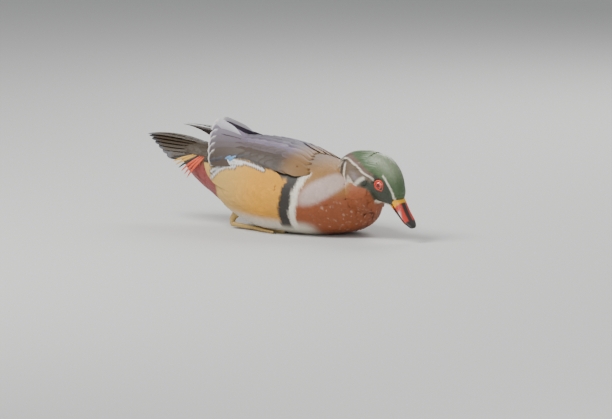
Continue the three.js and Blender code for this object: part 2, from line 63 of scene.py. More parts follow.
class Loft:
    """A rounded form through cross-sections [place, half width, top, widest height, bottom]."""

    def __init__(self, rows, squareness, floor=-1e9):
        x, w, top, mid, low = np.array(rows, float).T
        keys = np.stack([x, w, top - mid, mid - low, mid], 1)
        mirror = np.array([1, -1, -1, -1, 1])
        self.keys = np.vstack([keys[1] * mirror, keys, keys[-2] * mirror])
        self.last = len(rows) - 1
        self.squareness = squareness
        self.floor = floor
        fine = np.linspace(0, self.last, 600)
        self.table = (self.section(fine)[:, 0], fine)

    def section(self, t):
        t = np.asarray(t, float)
        i = np.clip(np.floor(t).astype(int), 0, self.last - 1)
        s = (t - i)[..., None]
        a, b, c, d = (self.keys[i + k] for k in range(4))
        return b + 0.5 * s * (c - a + s * (2 * a - 5 * b + 4 * c - d + s * (3 * (b - c) + d - a)))

    def bare(self, t, angle):
        x, w, up, down, mid = np.moveaxis(self.section(t), -1, 0)
        c = np.cos(angle)
        s = np.sin(angle)
        power = 2 / np.where(c > 0, self.squareness[0], self.squareness[1])
        y = -w * np.sign(s) * np.abs(s) ** power
        z = mid + np.where(c > 0, up, down) * np.sign(c) * np.abs(c) ** power
        return np.stack([x, y, z], -1)

    def normal(self, t, angle):
        inner = np.clip(t, 0.04, self.last - 0.04)
        along = self.bare(inner + 0.03, angle) - self.bare(inner - 0.03, angle)
        around = self.bare(inner, angle + 0.03) - self.bare(inner, angle - 0.03)
        n = unit(np.cross(around, along))
        axis = self.section(inner)
        outward = self.bare(inner, angle) - np.stack([axis[..., 0], 0 * axis[..., 0], axis[..., 4]], -1)
        return n * np.sign(np.sum(n * outward, -1, keepdims=True) + 1e-12)

    def at(self, t, angle, h=0.0):
        t, angle = np.broadcast_arrays(np.asarray(t, float), np.asarray(angle, float))
        p = self.bare(t, angle) + self.normal(t, angle) * np.asarray(h)[..., None]
        p[..., 2] = np.maximum(p[..., 2], self.floor + 0.2)
        return p

    def place(self, x):
        return np.interp(-np.asarray(x, float), -self.table[0], self.table[1])

    def on(self, x, degrees, h=0.0):
        return self.at(self.place(x), np.radians(degrees), h)

    def out(self, x, degrees):
        return self.normal(self.place(x), np.radians(degrees))


body = Loft(
    [
        [78, 0, 42, 42, 42],
        [71, 21, 55, 41, 22],
        [57, 36, 64, 41, 9],
        [36, 50, 77, 42, 2],
        [10, 58, 86, 42, -2],
        [-17, 61.5, 92.5, 43, -3],
        [-45, 61.5, 97, 45, -2.5],
        [-73, 57, 99, 49, 2],
        [-100, 49, 98, 54, 11],
        [-124, 38.5, 95, 60, 24],
        [-146, 29, 92.5, 66, 37],
        [-162, 24, 92.5, 71, 48],
        [-176, 19, 93, 77, 61],
        [-190, 14, 93, 83, 73],
        [-200, 9, 93, 87, 80],
        [-206, 0, 90, 90, 90],
    ],
    [2.1, 2.5],
    0,
)
head = Loft(
    [
        [29, 0, -7, -7, -7],
        [26, 8, 1.5, -7, -14.5],
        [19, 12, 12, -6, -18.5],
        [10, 15.2, 20.5, -4, -22],
        [0, 17, 25.5, -3, -25.5],
        [-12, 18.4, 27, -3, -29],
        [-24, 17.8, 24, -3, -31],
        [-35, 13, 16, -3, -28],
        [-41, 0, -4, -4, -4],
    ],
    [2.1, 2.2],
)
crest = Loft(
    [
        [-18, 0, 2, 2, 2],
        [-24, 15.5, 22.5, -2, -28],
        [-38, 14.5, 17, -4, -33],
        [-51, 11.5, 8.5, -8, -35],
        [-61, 7, -1, -13, -32],
        [-66, 0, -17, -17, -17],
    ],
    [2.1, 2.4],
)
head_turn = Matrix.Rotation(math.radians(-9), 3, "Z")
head_nod = Matrix.Rotation(math.radians(30), 3, "Y")
head_lean = Matrix.Rotation(math.radians(6), 3, "X")
HEAD_AXES = np.array(head_turn @ head_nod @ head_lean)
HEAD_MIDDLE = np.array([103.0, -18.0, 66.0])


def from_head(p):
    return np.asarray(p, float) @ HEAD_AXES.T + HEAD_MIDDLE


def to_head(p):
    return (np.asarray(p, float) - HEAD_MIDDLE) @ HEAD_AXES


def to_line(p, points):
    """Distance from points p to a line of straight pieces, in a plane."""
    best = np.full(p.shape[:-1], 1e9)
    for a, b in zip(points[:-1], points[1:]):
        a = np.array(a, float)
        reach = np.array(b, float) - a
        t = np.clip(((p - a) @ reach) / (reach @ reach), 0, 1)
        best = np.minimum(best, np.linalg.norm(p - a - t[..., None] * reach, axis=-1))
    return best


def stroke(p, points, width, soft=0.5):
    return 1 - smooth(width / 2 - soft, width / 2 + soft, to_line(p, points))


CREAM = np.array([0.86, 0.8, 0.66])
DARK = np.array([0.035, 0.03, 0.025])
GREEN = np.array([0.07, 0.125, 0.045])
# Pale grey-green: a painted sheen, laid over the top of the crown.
PAINTED_SHEEN_GREEN = np.array([0.26, 0.31, 0.19])
BRONZE = np.array([0.33, 0.165, 0.04])
CHESTNUT = np.array([0.3, 0.075, 0.02])
GOLD = np.array([0.8, 0.36, 0.025])
MAROON = np.array([0.3, 0.05, 0.045])
TAIL_BROWN = np.array([0.055, 0.036, 0.018])
PALE_GOLD = np.array([0.7, 0.43, 0.11])


def head_colour(p):
    """Feather colours of the head and crest at points in the head's frame, with a painted sheen on the crown
    and a painted highlight on the cheek.
    """
    f, side, u = p[..., 0], np.abs(p[..., 1]), p[..., 2]
    flat = np.stack([f, u], -1)
    # The crown turns paler towards its top: painted sheen where it faces up, over its real deep green.
    colour = blend(GREEN, PAINTED_SHEEN_GREEN, smooth(8, 25, u) * 0.9)
    line_u = np.interp(f, [-66, -57, -38, -13, -4], [-5.5, -3, 1.5, 2.2, 2])
    purple = smooth(0, 1, u - line_u) * (1 - smooth(3, 8, u - line_u)) * smooth(4, -4, f)
    colour = blend(colour, [0.2, 0.11, 0.09], purple * 0.9)
    below = smooth(0.8, -0.4, u - line_u) * smooth(1, -3, f)
    colour = blend(colour, [0.17, 0.12, 0.075], below)
    # Painted highlight: a lilac glow on the brown cheek patch, standing in for light.
    painted_cheek_highlight = np.exp(-(((f + 33) / 9) ** 2) - ((u + 10) / 5) ** 2)
    colour = blend(colour, [0.32, 0.27, 0.27], below * painted_cheek_highlight * 0.8)
    front = smooth(-22.5, -19.5, f + 0.45 * (u + 10)) * smooth(-2, -5, u)
    face = np.maximum(front, smooth(9, 13, side) * smooth(11, 7, u) * smooth(-12, -8, f))
    colour = blend(colour, [0.035, 0.045, 0.026], face)
    throat = smooth(-25.5, -28, u + 0.75 * (f + 13)) * smooth(-19, -21, u + 0.1 * f)
    throat = throat * smooth(-46, -42, f)
    colour = blend(colour, CREAM * 0.85, throat)
    spur = [(-20, -3), (-24, -9), (-27.5, -17), (-27, -25)]
    colour = blend(colour, CREAM * 0.9, stroke(flat, spur, 4.2, 0.8))
    jaw = [(-27, -25), (-18, -26.5), (-8, -25.5), (4, -23)]
    colour = blend(colour, CREAM * 0.85, stroke(flat, jaw, 2.2, 0.6))
    chin = smooth(10.5, 8, side) * smooth(-13, -17, u) * smooth(25, 21, f)
    colour = blend(colour, CREAM * 0.85, chin)
    nape = [(-57, -10), (-53, -19), (-46, -27), (-37, -31)]
    colour = blend(colour, CREAM, stroke(flat, nape, 3.4, 0.7) * smooth(1, 3, side))
    rear = [(-60, -9), (-59.5, -20), (-54, -30), (-48, -36)]
    colour = blend(colour, DARK * 2, stroke(flat, rear, 4, 0.8))
    edge = [(-65, -9), (-64.5, -20), (-59, -30), (-50, -38)]
    colour = blend(colour, CREAM * 0.8, stroke(flat, edge, 1.6, 0.6))
    behind_eye = [(-8, 2.8), (-20, 2.5), (-38, 1.5), (-57, -3), (-63, -7)]
    colour = blend(colour, CREAM, stroke(flat, behind_eye, 1.9, 0.5) * smooth(3, 6, side))
    brow = [(0, 13.5), (6, 11.2), (13, 6.8), (20, 0.5), (23.5, -5)]
    colour = blend(colour, CREAM, stroke(flat, brow, 1.7, 0.45) * smooth(5, 7, side))
    return colour


def body_colour(p):
    """Feather colours of the breast, flanks, belly, back and rump at points in the bird's frame, with a
    painted sheen on the breast.
    """
    x, side, z = p[..., 0], np.abs(p[..., 1]), p[..., 2]
    colour = blend(CHESTNUT, BRONZE, smooth(48, 66, z + 0.12 * x) * smooth(66, 52, x))
    colour = blend(colour, [0.16, 0.11, 0.07], smooth(30, -10, x) * smooth(72, 84, z))
    # Painted sheen: a pale pinkish oval on the chestnut breast below the neck, standing in for light on wet
    # feathers.
    along = (x - 30) * 0.84 + (z - 56) * 0.54
    across = (x - 30) * 0.54 - (z - 56) * 0.84
    pale = 1 - smooth(0.7, 1.15, np.hypot(along / 30, across / 13))
    colour = blend(colour, [0.6, 0.45, 0.4], pale * smooth(12, 26, side) * 0.9)
    spots = np.sin(x * 1.1 + 0.4 * z) * np.sin(side * 1.05 + 0.5 * z)
    spotted = smooth(0.8, 0.95, spots) * smooth(50, 38, z) * smooth(14, 26, x)
    colour = blend(colour, [0.6, 0.45, 0.32], spotted * 0.6)
    white_x = np.interp(z, [0, 20, 38, 56, 70, 76], [-6, -3, 0, 3, 8, 12])
    flank = smooth(white_x - 16.5, white_x - 18, x) * smooth(-124, -120, x - 0.2 * (z - 40))
    flank = flank * smooth(92, 86, z)
    gold = blend(GOLD, PALE_GOLD, smooth(-40, -110, x))
    gold = blend(gold, [0.7, 0.32, 0.04], smooth(-50, -10, x) * smooth(60, 25, z))
    colour = blend(colour, gold, flank)
    edge = np.interp(x, [-123, -108, -87, -67, -44, -15], [60, 73, 80, 79, 74, 66])
    over_gold = smooth(edge - 1.5, edge + 0.5, z) * smooth(89, 85, z)
    over_gold = over_gold * smooth(-6, -10, x) * smooth(-128, -124, x)
    colour = blend(colour, DARK * 2.2, over_gold)
    belly = smooth(24, 12, z + 0.06 * (x + 40)) * smooth(28, 6, x)
    colour = blend(colour, [0.72, 0.66, 0.55], belly)
    bar = smooth(white_x - 18.5, white_x - 17, x) * smooth(white_x - 2.6, white_x - 4, x)
    bar = bar * smooth(78, 72, z) * smooth(6, 14, z)
    colour = blend(colour, DARK, bar)
    white = smooth(white_x - 4.6, white_x - 3.2, x) * smooth(white_x + 4.6, white_x + 3.2, x)
    colour = blend(colour, CREAM, white * smooth(75, 71, z) * smooth(6, 14, z))
    patch = smooth(-121, -126, x - 0.2 * (z - 40)) * smooth(-178, -170, x) * smooth(74, 68, z)
    colour = blend(colour, MAROON, patch * smooth(6, 14, side))
    stern = np.maximum(smooth(-150, -168, x), smooth(-118, -128, x) * smooth(66, 74, z))
    colour = blend(colour, TAIL_BROWN, np.maximum(stern * (1 - patch), smooth(-172, -180, x)))
    return colour


def new_mesh(name, points, faces):
    """A mesh from points in millimetres in the bird's frame."""
    mesh = bpy.data.meshes.new(name)
    shifted = (np.asarray(points, float).reshape(-1, 3) + [SHIFT, 0, 0]) * 0.001
    mesh.from_pydata(shifted.tolist(), [], [list(map(int, f)) for f in faces])
    mesh.validate()
    mesh.shade_smooth()
    obj = bpy.data.objects.new(name, mesh)
    bpy.context.scene.collection.objects.link(obj)
    return obj


def add_values(obj, name, kind, values):
    layer = obj.data.attributes.new(name, kind, "POINT")
    field = "color" if kind == "FLOAT_COLOR" else "vector"
    values = np.asarray(values, float).reshape(len(obj.data.vertices), -1)
    if kind == "FLOAT_COLOR":
        values = np.hstack([values, np.ones((len(values), 1))])
    layer.data.foreach_set(field, values.ravel())


def tube_faces(rings, around):
    """Faces of a closed tube: rings of points, then the middle of its first and of its last end."""
    faces = []
    for i in range(rings - 1):
        for j in range(around):
            k = (j + 1) % around
            faces.append((i * around + j, i * around + k, (i + 1) * around + k, (i + 1) * around + j))
    last_ring = (rings - 1) * around
    for j in range(around):
        k = (j + 1) % around
        faces.append((rings * around, k, j))
        faces.append((rings * around + 1, last_ring + j, last_ring + k))
    return faces


def loft_mesh(form, along, around, h=0.0, turn=None):
    """Points and faces of a closed skin over a form."""
    t = np.linspace(0, form.last, along + 1)[1:-1]
    angle = np.linspace(0, 2 * np.pi, around, endpoint=False)
    grid = form.at(t[:, None], angle[None, :], np.full((along - 1, around), float(h)))
    ends = form.at(np.array([0.0, form.last]), np.zeros(2), np.zeros(2))
    points = np.vstack([grid.reshape(-1, 3), ends])
    if turn is not None:
        points = turn(points)
    return points, tube_faces(along - 1, around)


def joined_parts(parts):
    points = []
    faces = []
    count = 0
    for p, f in parts:
        points.append(p)
        faces.extend([tuple(i + count for i in face) for face in f])
        count += len(p)
    return np.vstack(points), faces


def apply_modifiers(obj):
    graph = bpy.context.evaluated_depsgraph_get()
    made = bpy.data.meshes.new_from_object(obj.evaluated_get(graph))
    obj.modifiers.clear()
    obj.data = made


NECK_RINGS = 9
NECK_SIDES = 24
neck_line = [np.array([34.0, -6, 42]), np.array([61.0, -13, 49]), np.array([88.0, -16, 52])]
neck_part = []
for u in np.linspace(0, 1, NECK_RINGS):
    middle = neck_line[0] * (1 - u) ** 2 + 2 * neck_line[1] * u * (1 - u) + neck_line[2] * u ** 2
    radius = np.interp(u, [0, 0.33, 0.66, 1], [22, 24, 23, 19]) - 1.5
    ring = np.linspace(0, 2 * np.pi, NECK_SIDES, endpoint=False)
    neck_part.append(middle + np.stack([0 * ring, radius * np.cos(ring), radius * np.sin(ring)], -1))
neck_points = np.vstack(neck_part + [neck_part[0].mean(0), neck_part[-1].mean(0)])
skin_points, skin_faces = joined_parts([
    loft_mesh(body, 90, 72, -COAT_DEPTH),
    loft_mesh(head, 50, 48, -HEAD_COAT_DEPTH, from_head),
    loft_mesh(crest, 30, 40, -HEAD_COAT_DEPTH, from_head),
    (neck_points, tube_faces(NECK_RINGS, NECK_SIDES)),
])
skin = new_mesh("skin", skin_points, skin_faces)
remesh = skin.modifiers.new("fuse", "REMESH")
remesh.mode = "VOXEL"
remesh.voxel_size = 0.0022
remesh.use_smooth_shade = True
soften = skin.modifiers.new("soften", "SMOOTH")
soften.factor = 0.6
soften.iterations = 6
apply_modifiers(skin)
skin_at = np.zeros(len(skin.data.vertices) * 3)
skin.data.vertices.foreach_get("co", skin_at)
skin_at = skin_at.reshape(-1, 3)
skin_at[:, 2] = np.maximum(skin_at[:, 2], LOWEST)
skin.data.vertices.foreach_set("co", skin_at.ravel())
skin_at = skin_at * 1000 - [SHIFT, 0, 0]


def outside(form, p):
    """1 on a form's surface, less inside it and more outside it."""
    section = form.section(form.place(p[..., 0]))
    high = p[..., 2] - section[..., 4]
    reach = np.maximum(np.where(high > 0, section[..., 2], section[..., 3]), 0.5)
    return np.hypot(p[..., 1] / np.maximum(section[..., 1], 0.5), high / reach)


def from_the_head(p):
    """1 where a point belongs to the head or the crest, and 0 on the neck and the body."""
    q = to_head(p)
    return smooth(1.14, 1.08, np.minimum(outside(head, q), outside(crest, q)))


def coat_colour(p):
    return blend(body_colour(p), head_colour(to_head(p)), from_the_head(p))


add_values(skin, "paint", "FLOAT_COLOR", coat_colour(skin_at))
skin_tree = KDTree(len(skin_at))
for number, place in enumerate(skin_at):
    skin_tree.insert(place, number)
skin_tree.balance()


def near_skin(points, reach):
    return np.array([skin_tree.find(p)[2] < reach for p in points])


def finish(name, values):
    """A material whose shader has the named values."""
    material = bpy.data.materials.new(name)
    material.use_nodes = True
    shader = material.node_tree.nodes["Principled BSDF"]
    for label, value in values.items():
        shader.inputs[label].default_value = value
    return material


def node_group(name, inputs, outputs):
    """A shader node group with named inputs and outputs, and its two end nodes."""
    group = bpy.data.node_groups.new(name, "ShaderNodeTree")
    for way, sockets in (("INPUT", inputs), ("OUTPUT", outputs)):
        for label, kind in sockets.items():
            group.interface.new_socket(label, in_out=way, socket_type="NodeSocket" + kind)
    return group, group.nodes.new("NodeGroupInput"), group.nodes.new("NodeGroupOutput")


def attribute(group, name):
    node = group.nodes.new("ShaderNodeAttribute")
    node.attribute_name = name
    return node


def maths(group, operation, *values):
    """A maths node fed by numbers and by the outputs of other nodes."""
    node = group.nodes.new("ShaderNodeMath")
    node.operation = operation
    for place, value in zip(node.inputs, values):
        if isinstance(value, (int, float)):
            place.default_value = value
        else:
            group.links.new(value, place)
    return node.outputs[0]


def grain_group():
    """The paint attribute's colour, and a fine grain that stays with the surface."""
    group, inward, outward = node_group(
        "painted grain", {"Scale": "Float", "Detail": "Float"}, {"Paint": "Color", "Height": "Float"})
    grain = group.nodes.new("ShaderNodeTexNoise")
    where = group.nodes.new("ShaderNodeTexCoord")
    group.links.new(where.outputs["Object"], grain.inputs["Vector"])
    group.links.new(inward.outputs["Scale"], grain.inputs["Scale"])
    group.links.new(inward.outputs["Detail"], grain.inputs["Detail"])
    group.links.new(attribute(group, "paint").outputs["Color"], outward.inputs["Paint"])
    group.links.new(grain.outputs["Fac"], outward.inputs["Height"])
    return group


def barb_group():
    """Barbs that slant from a feather's shaft to its rim, as relief and as a faint shade on the paint."""
    group, inward, outward = node_group(
        "feather barbs", {"Paint": "Color", "Height": "Float", "Barb size": "Float"},
        {"Paint": "Color", "Height": "Float"})
    split = group.nodes.new("ShaderNodeSeparateXYZ")
    group.links.new(attribute(group, "vane").outputs["Vector"], split.inputs[0])
    from_shaft = maths(group, "ABSOLUTE", split.outputs["X"])
    slant = maths(group, "MULTIPLY_ADD", from_shaft, -0.9, split.outputs["Y"])
    turns = maths(group, "DIVIDE", maths(group, "MULTIPLY", slant, 2 * math.pi), inward.outputs["Barb size"])
    height = maths(group, "MULTIPLY_ADD", maths(group, "SINE", turns), 0.35, inward.outputs["Height"])
    shade = group.nodes.new("ShaderNodeMapRange")
    shade.inputs["From Min"].default_value = -0.4
    shade.inputs["From Max"].default_value = 1.4
    shade.inputs["To Min"].default_value = 0.78
    shade.inputs["To Max"].default_value = 1.12
    group.links.new(height, shade.inputs["Value"])
    tint = group.nodes.new("ShaderNodeVectorMath")
    tint.operation = "SCALE"
    group.links.new(inward.outputs["Paint"], tint.inputs[0])
    group.links.new(shade.outputs[0], tint.inputs["Scale"])
    group.links.new(tint.outputs[0], outward.inputs["Paint"])
    group.links.new(height, outward.inputs["Height"])
    return group


PAINTED_GRAIN = grain_group()
BARBS = barb_group()


def grained(material, scale, detail, strength, barb_size=None):
    """Lays paint and grain on a material, with barbs where their size is given."""
    nodes = material.node_tree.nodes
    links = material.node_tree.links
    grain = nodes.new("ShaderNodeGroup")
    grain.node_tree = PAINTED_GRAIN
    grain.inputs["Scale"].default_value = scale
    grain.inputs["Detail"].default_value = detail
    top = grain
    if barb_size is not None:
        top = nodes.new("ShaderNodeGroup")
        top.node_tree = BARBS
        top.inputs["Barb size"].default_value = barb_size
        links.new(grain.outputs["Paint"], top.inputs["Paint"])
        links.new(grain.outputs["Height"], top.inputs["Height"])
    bump = nodes.new("ShaderNodeBump")
    bump.inputs["Strength"].default_value = strength
    bump.inputs["Distance"].default_value = 0.0003
    shader = nodes["Principled BSDF"]
    links.new(top.outputs["Paint"], shader.inputs["Base Color"])
    links.new(top.outputs["Height"], bump.inputs["Height"])
    links.new(bump.outputs[0], shader.inputs["Normal"])


def plumage(name, roughness=0.6, sheen=0.06, barb_size=0.8, gloss=0.0):
    """Feather material: colours from the paint attribute, with barbs that slant from each shaft."""
    material = finish(name, {
        "Roughness": roughness,
        "Sheen Weight": sheen,
        "Sheen Roughness": 0.4,
        "Coat Weight": gloss,
        "Coat Roughness": 0.35,
    })
    grained(material, 420, 3, 0.25, barb_size)
    return material


soft_feather = plumage("soft feathers")
skin.data.materials.append(soft_feather)
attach(skin, "root")
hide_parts("torso", "neck", "head")

# Small body feathers: downy contour feathers that overlap like tiles from the breast back to the rump.
# Each is a thin curved vane with a soft rounded end, rooted in the skin and lying close to it.
# They are smallest on the breast, and the golden ones of the side bulge out over the wing's lower edge.


def vanes(root, tip, out, width, tip_out=None, rows=4, cols=3, thick=0.3, arch=0.0, cup=0.12, roll=0.0,
          shape=2.2, slim=0.5, ragged=0.0):
    """Points of many feathers at once: a closed lens-shaped blade from each root to each tip."""
    n = len(root)
    full = np.broadcast_to
    width, arch, roll, thick, shape, cup, slim = (
        full(np.asarray(v, float), (n,))[:, None] for v in (width, arch, roll, thick, shape, cup, slim)
    )
    t = 1 - (1 - np.linspace(0, 0.985, rows)) ** 1.35
    t = t[None, :]
    tip_out = out if tip_out is None else tip_out
    up = unit(out[:, None] * (1 - t[..., None]) + tip_out[:, None] * t[..., None])
    reach = (tip - root)[:, None]
    rise = (arch * 4 * t * (1 - t))[..., None]
    centre = root[:, None] + reach * t[..., None] + up * rise
    slope = unit(reach + up * (arch * 4 * (1 - 2 * t))[..., None])
    up = unit(up - slope * np.sum(up * slope, -1, keepdims=True))
    side = np.cross(slope, up)
    turned = up * np.cos(roll)[..., None] + side * np.sin(roll)[..., None]
    side = side * np.cos(roll)[..., None] - up * np.sin(roll)[..., None]
    up = turned
    begin = slim + (1 - slim) * smooth(0, 0.5, t)
    end = np.sqrt(np.maximum(1 - np.maximum(0, (t - 0.35) / 0.65) ** shape, 0.0))
    half = width / 2 * begin * end
    if ragged:
        half = half * (1 + ragged * rng.normal(0, 1, half.shape) * (t > 0.2))
    v = np.linspace(-1, 1, cols)[None, None, :]
    deep = (thick / 2 * (1 - 0.5 * t))[..., None] * (1 - v ** 2)
    low = -(cup * half)[..., None] * v ** 2
    flat = centre[:, :, None] + side[:, :, None] * (half[..., None] * v)[..., None]
    top = flat + up[:, :, None] * (low + deep)[..., None]
    under = flat + up[:, :, None] * (low - deep)[..., None]
    length = np.linalg.norm(tip - root, axis=1)
    points = np.concatenate([
        top.reshape(n, -1, 3),
        under[:, :, 1:-1].reshape(n, -1, 3),
        tip[:, None],
    ], 1)
    across = (half[..., None] * v)
    along = full((length[:, None] * t)[..., None], across.shape)
    frac = full(t[..., None], across.shape)
    over = full(v, across.shape)
    pieces = []
    start = 0 * length
    for value, at_tip in zip((across, along, frac, over), (start, length, start + 1, start)):
        beneath = value[:, :, 1:-1].reshape(n, -1)
        pieces.append(np.concatenate([value.reshape(n, -1), beneath, at_tip[:, None]], 1))
    faces = []
    inner = cols - 2
    base = rows * cols

    def below(i, j):
        if j == 0 or j == cols - 1:
            return i * cols + j
        return base + i * inner + j - 1

    for i in range(rows - 1):
        for j in range(cols - 1):
            faces.append((i * cols + j, i * cols + j + 1, (i + 1) * cols + j + 1, (i + 1) * cols + j))
            faces.append((below(i, j), below(i + 1, j), below(i + 1, j + 1), below(i, j + 1)))
    end_point = base + rows * inner
    for j in range(cols - 1):
        faces.append(((rows - 1) * cols + j, (rows - 1) * cols + j + 1, end_point))
        faces.append((below(rows - 1, j + 1), below(rows - 1, j), end_point))
    cap = [below(0, j) for j in range(cols)] + [j for j in range(cols - 2, 0, -1)]
    faces.append(tuple(cap))
    return points, faces, pieces


def coat(name, groups, material):
    """One piece from groups of feathers: each group is (vanes result, colours, bake places)."""
    all_points, all_faces, paint, vane, places, rims = [], [], [], [], [], []
    count = 0
    for (points, faces, (across, along, frac, over)), colours, bake in groups:
        n, per = points.shape[:2]
        all_points.append(points.reshape(-1, 3))
        for face in faces:
            face = np.array(face)
            all_faces.append((face[None, :] + count + per * np.arange(n)[:, None]))
        paint.append(colours.reshape(-1, 3))
        luck = np.repeat(rng.random((n, 1)), per, 1)
        vane.append(np.stack([across, along, luck], -1).reshape(-1, 3))
        spot = bake[:, None] + 0.0015 * np.stack([over, frac * 2 - 1], -1)
        places.append(spot.reshape(-1, 2))
        rims.append(((np.abs(over) > 0.99) | (frac > 0.999)).ravel())
        count += n * per
    mesh = bpy.data.meshes.new(name)
    points = (np.vstack(all_points) + [SHIFT, 0, 0]) * 0.001
    points[:, 2] = np.maximum(points[:, 2], LOWEST)
    loops = np.concatenate([f.ravel() for f in all_faces])
    sizes = np.concatenate([np.full(len(f), f.shape[1]) for f in all_faces])
    starts = np.concatenate([[0], np.cumsum(sizes)[:-1]])
    mesh.vertices.add(len(points))
    mesh.vertices.foreach_set("co", points.ravel())
    mesh.loops.add(len(loops))
    mesh.loops.foreach_set("vertex_index", loops)
    mesh.polygons.add(len(sizes))
    mesh.polygons.foreach_set("loop_start", starts)
    mesh.update(calc_edges=True)
    mesh.shade_smooth()
    ends = np.zeros(len(mesh.edges) * 2, int)
    mesh.edges.foreach_get("vertices", ends)
    rim = np.concatenate(rims)[ends.reshape(-1, 2)].all(1)
    mesh.attributes.new("sharp_edge", "BOOLEAN", "EDGE").data.foreach_set("value", rim)
    bake_map = mesh.uv_layers.new(name="OFBake")
    spots = np.clip(np.vstack(places), 0.001, 0.999)
    bake_map.data.foreach_set("uv", spots[loops].ravel())
    obj = bpy.data.objects.new(name, mesh)
    bpy.context.scene.collection.objects.link(obj)
    add_values(obj, "paint", "FLOAT_COLOR", np.vstack(paint))
    add_values(obj, "vane", "FLOAT_VECTOR", np.vstack(vane))
    mesh.materials.append(material)
    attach(obj, "root")
    return obj


def scatter(form, first, last, spacing, step):
    """Staggered places over a form: arrays of t and angle, closer where the form narrows."""
    ts, angles = [], []
    x = first
    odd = 0
    while x > last:
        t = form.place(x)
        section = form.section(t)
        girth = 2 * np.pi * np.sqrt((section[1] ** 2 + ((section[2] + section[3]) / 2) ** 2) / 2)
        count = max(5, int(girth / spacing(x)))
        angle = (np.arange(count) + 0.5 * odd) / count * 2 * np.pi - np.pi
        ts.append(np.full(count, float(t)))
        angles.append(angle)
        x -= step(x)
        odd = 1 - odd
    t = np.concatenate(ts)
    angle = np.concatenate(angles)
    t = np.clip(t + rng.normal(0, 0.008, t.shape), 0.02, form.last - 0.02)
    return t, angle + rng.normal(0, 0.008, t.shape)


def flank_rise(x, degrees):
    """Height of the golden side panel over the body's own form."""
    along = (x + 4) / -120
    across = (np.abs(degrees) - 66) / 56
    inside = (along > 0) & (along < 1) & (across > -0.1) & (across < 1)
    a = np.clip(along, 0, 1)
    c = np.clip(across * 1.15 + 0.08, 0, 1)
    rise = 3.8 * np.sin(np.pi * c) ** 0.7 * (1 - a ** 6) * (1 - (1 - a) ** 8)
    return np.where(inside, rise, 0)


def lie(form, t, angle, length, lift, rise=0.0, spread=0.12):
    """Roots, tips and outward directions of feathers that lie back over a form."""
    root = form.at(t, angle, rise - 1.2)
    out = form.normal(t, angle)
    ahead = form.at(np.clip(t + 0.02, 0, form.last), angle, rise)
    behind = form.at(np.clip(t - 0.02, 0, form.last), angle, rise)
    back = unit(ahead - behind)
    side = np.cross(back, out)
    back = unit(back + side * rng.normal(0, spread, (len(t), 1)))
    tip = root + back * length[:, None] + out * lift[:, None]
    return root, tip, out


def bake_place(form, t, angle):
    """Places of feathers on the bake map, from where they root along and around a form."""
    return np.stack([0.02 + 0.96 * t / form.last, 0.5 + angle / (2 * np.pi) * 0.96], -1)


def breast_size(x):
    return np.interp(x, [-60, -10, 40, 76], [5.0, 4.7, 4.0, 3.4])


t, angle = scatter(body, 77, -202, breast_size, lambda x: breast_size(x) * 0.9)
x = body.section(t)[:, 0]
degrees = np.degrees(angle)
under_wing = (np.abs(degrees) < 52) & (x < -12) & (x > -118)
keep = ~(under_wing & (rng.random(len(t)) < 0.75))
keep &= (body.at(t, angle, 0.0)[:, 2] > 0.6) & near_skin(body.at(t, angle, -COAT_DEPTH), 3.0)
t, angle, x, degrees = t[keep], angle[keep], x[keep], degrees[keep]
size = breast_size(x)
length = size * 3.0
rise = flank_rise(x, degrees)
climb = flank_rise(x - length, degrees) - rise
root, tip, out = lie(body, t, angle, length, 0.45 + climb, rise, 0.05)
tip[:, 2] = np.maximum(tip[:, 2], 0.4)
SMALL_VANE = {"rows": 5, "thick": 0.12, "shape": 2.4, "ragged": 0.02}
made = vanes(root, tip, out, size * 1.9, arch=size * 0.05, cup=0.05, **SMALL_VANE)
colours = body_colour(made[0])
luck = rng.normal(1, 0.04, (len(t), 1, 1))
colours = colours * luck * (0.97 + 0.05 * made[2][2][..., None])
groups = [(made, colours, bake_place(body, t, angle))]
body_coat = coat("body_feathers", groups, soft_feather)
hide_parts("flank_right", "flank_left")

# Neck feathers: the short soft coat between the back of the head and the breast.
# The neck is drawn in, so the feathers stand a little on end and hide the fold beside the head.
# They root all over the skin there and lie back from the head towards the shoulder.
normals = np.zeros(len(skin.data.vertices) * 3)
skin.data.vertices.foreach_get("normal", normals)
normals = normals.reshape(-1, 3)
in_head = to_head(skin_at)
bare = (outside(body, skin_at) > 0.92) & (outside(head, in_head) > 0.93) & (outside(crest, in_head) > 0.93)
bare &= (in_head[:, 2] < -12) & (skin_at[:, 0] < 128)
cells = np.round(skin_at[bare] / 2.9).astype(int)
chosen = np.flatnonzero(bare)[np.unique(cells, axis=0, return_index=True)[1]]
root = skin_at[chosen] - normals[chosen] * 0.3
out = normals[chosen]
back = np.array([-1, 0.1, -0.12]) + rng.normal(0, 0.06, (len(root), 3))
back = unit(back - out * np.sum(back * out, -1, keepdims=True))
under = smooth(0.1, -0.4, out[:, 2])[:, None]
tip = root + back * (12.5 - 6 * under) + out * (0.9 - 0.8 * under)
made = vanes(root, tip, out, 5.6, arch=0.4, cup=0.06, **SMALL_VANE)
colours = coat_colour(made[0]) * rng.normal(1, 0.05, (len(root), 1, 1))
bake = np.interp(root[:, [0, 2]], [0, 100], [0.05, 0.95])
coat("neck_feathers", [(made, colours, bake)], soft_feather)

# Head feathers: short, dense and glossy, smallest round the bill and the eyes.
# The crown is green over a purple band, the cheek dark between white lines, and the throat cream.
# Each is a small narrow vane, and their colours change across a single feather where a line crosses it.
silky = plumage("silky feathers", roughness=0.4, sheen=0.05, barb_size=0.7, gloss=0.3)


def fine(x):
    return np.interp(x, [-36, 0, 27], [2.9, 2.3, 1.5])


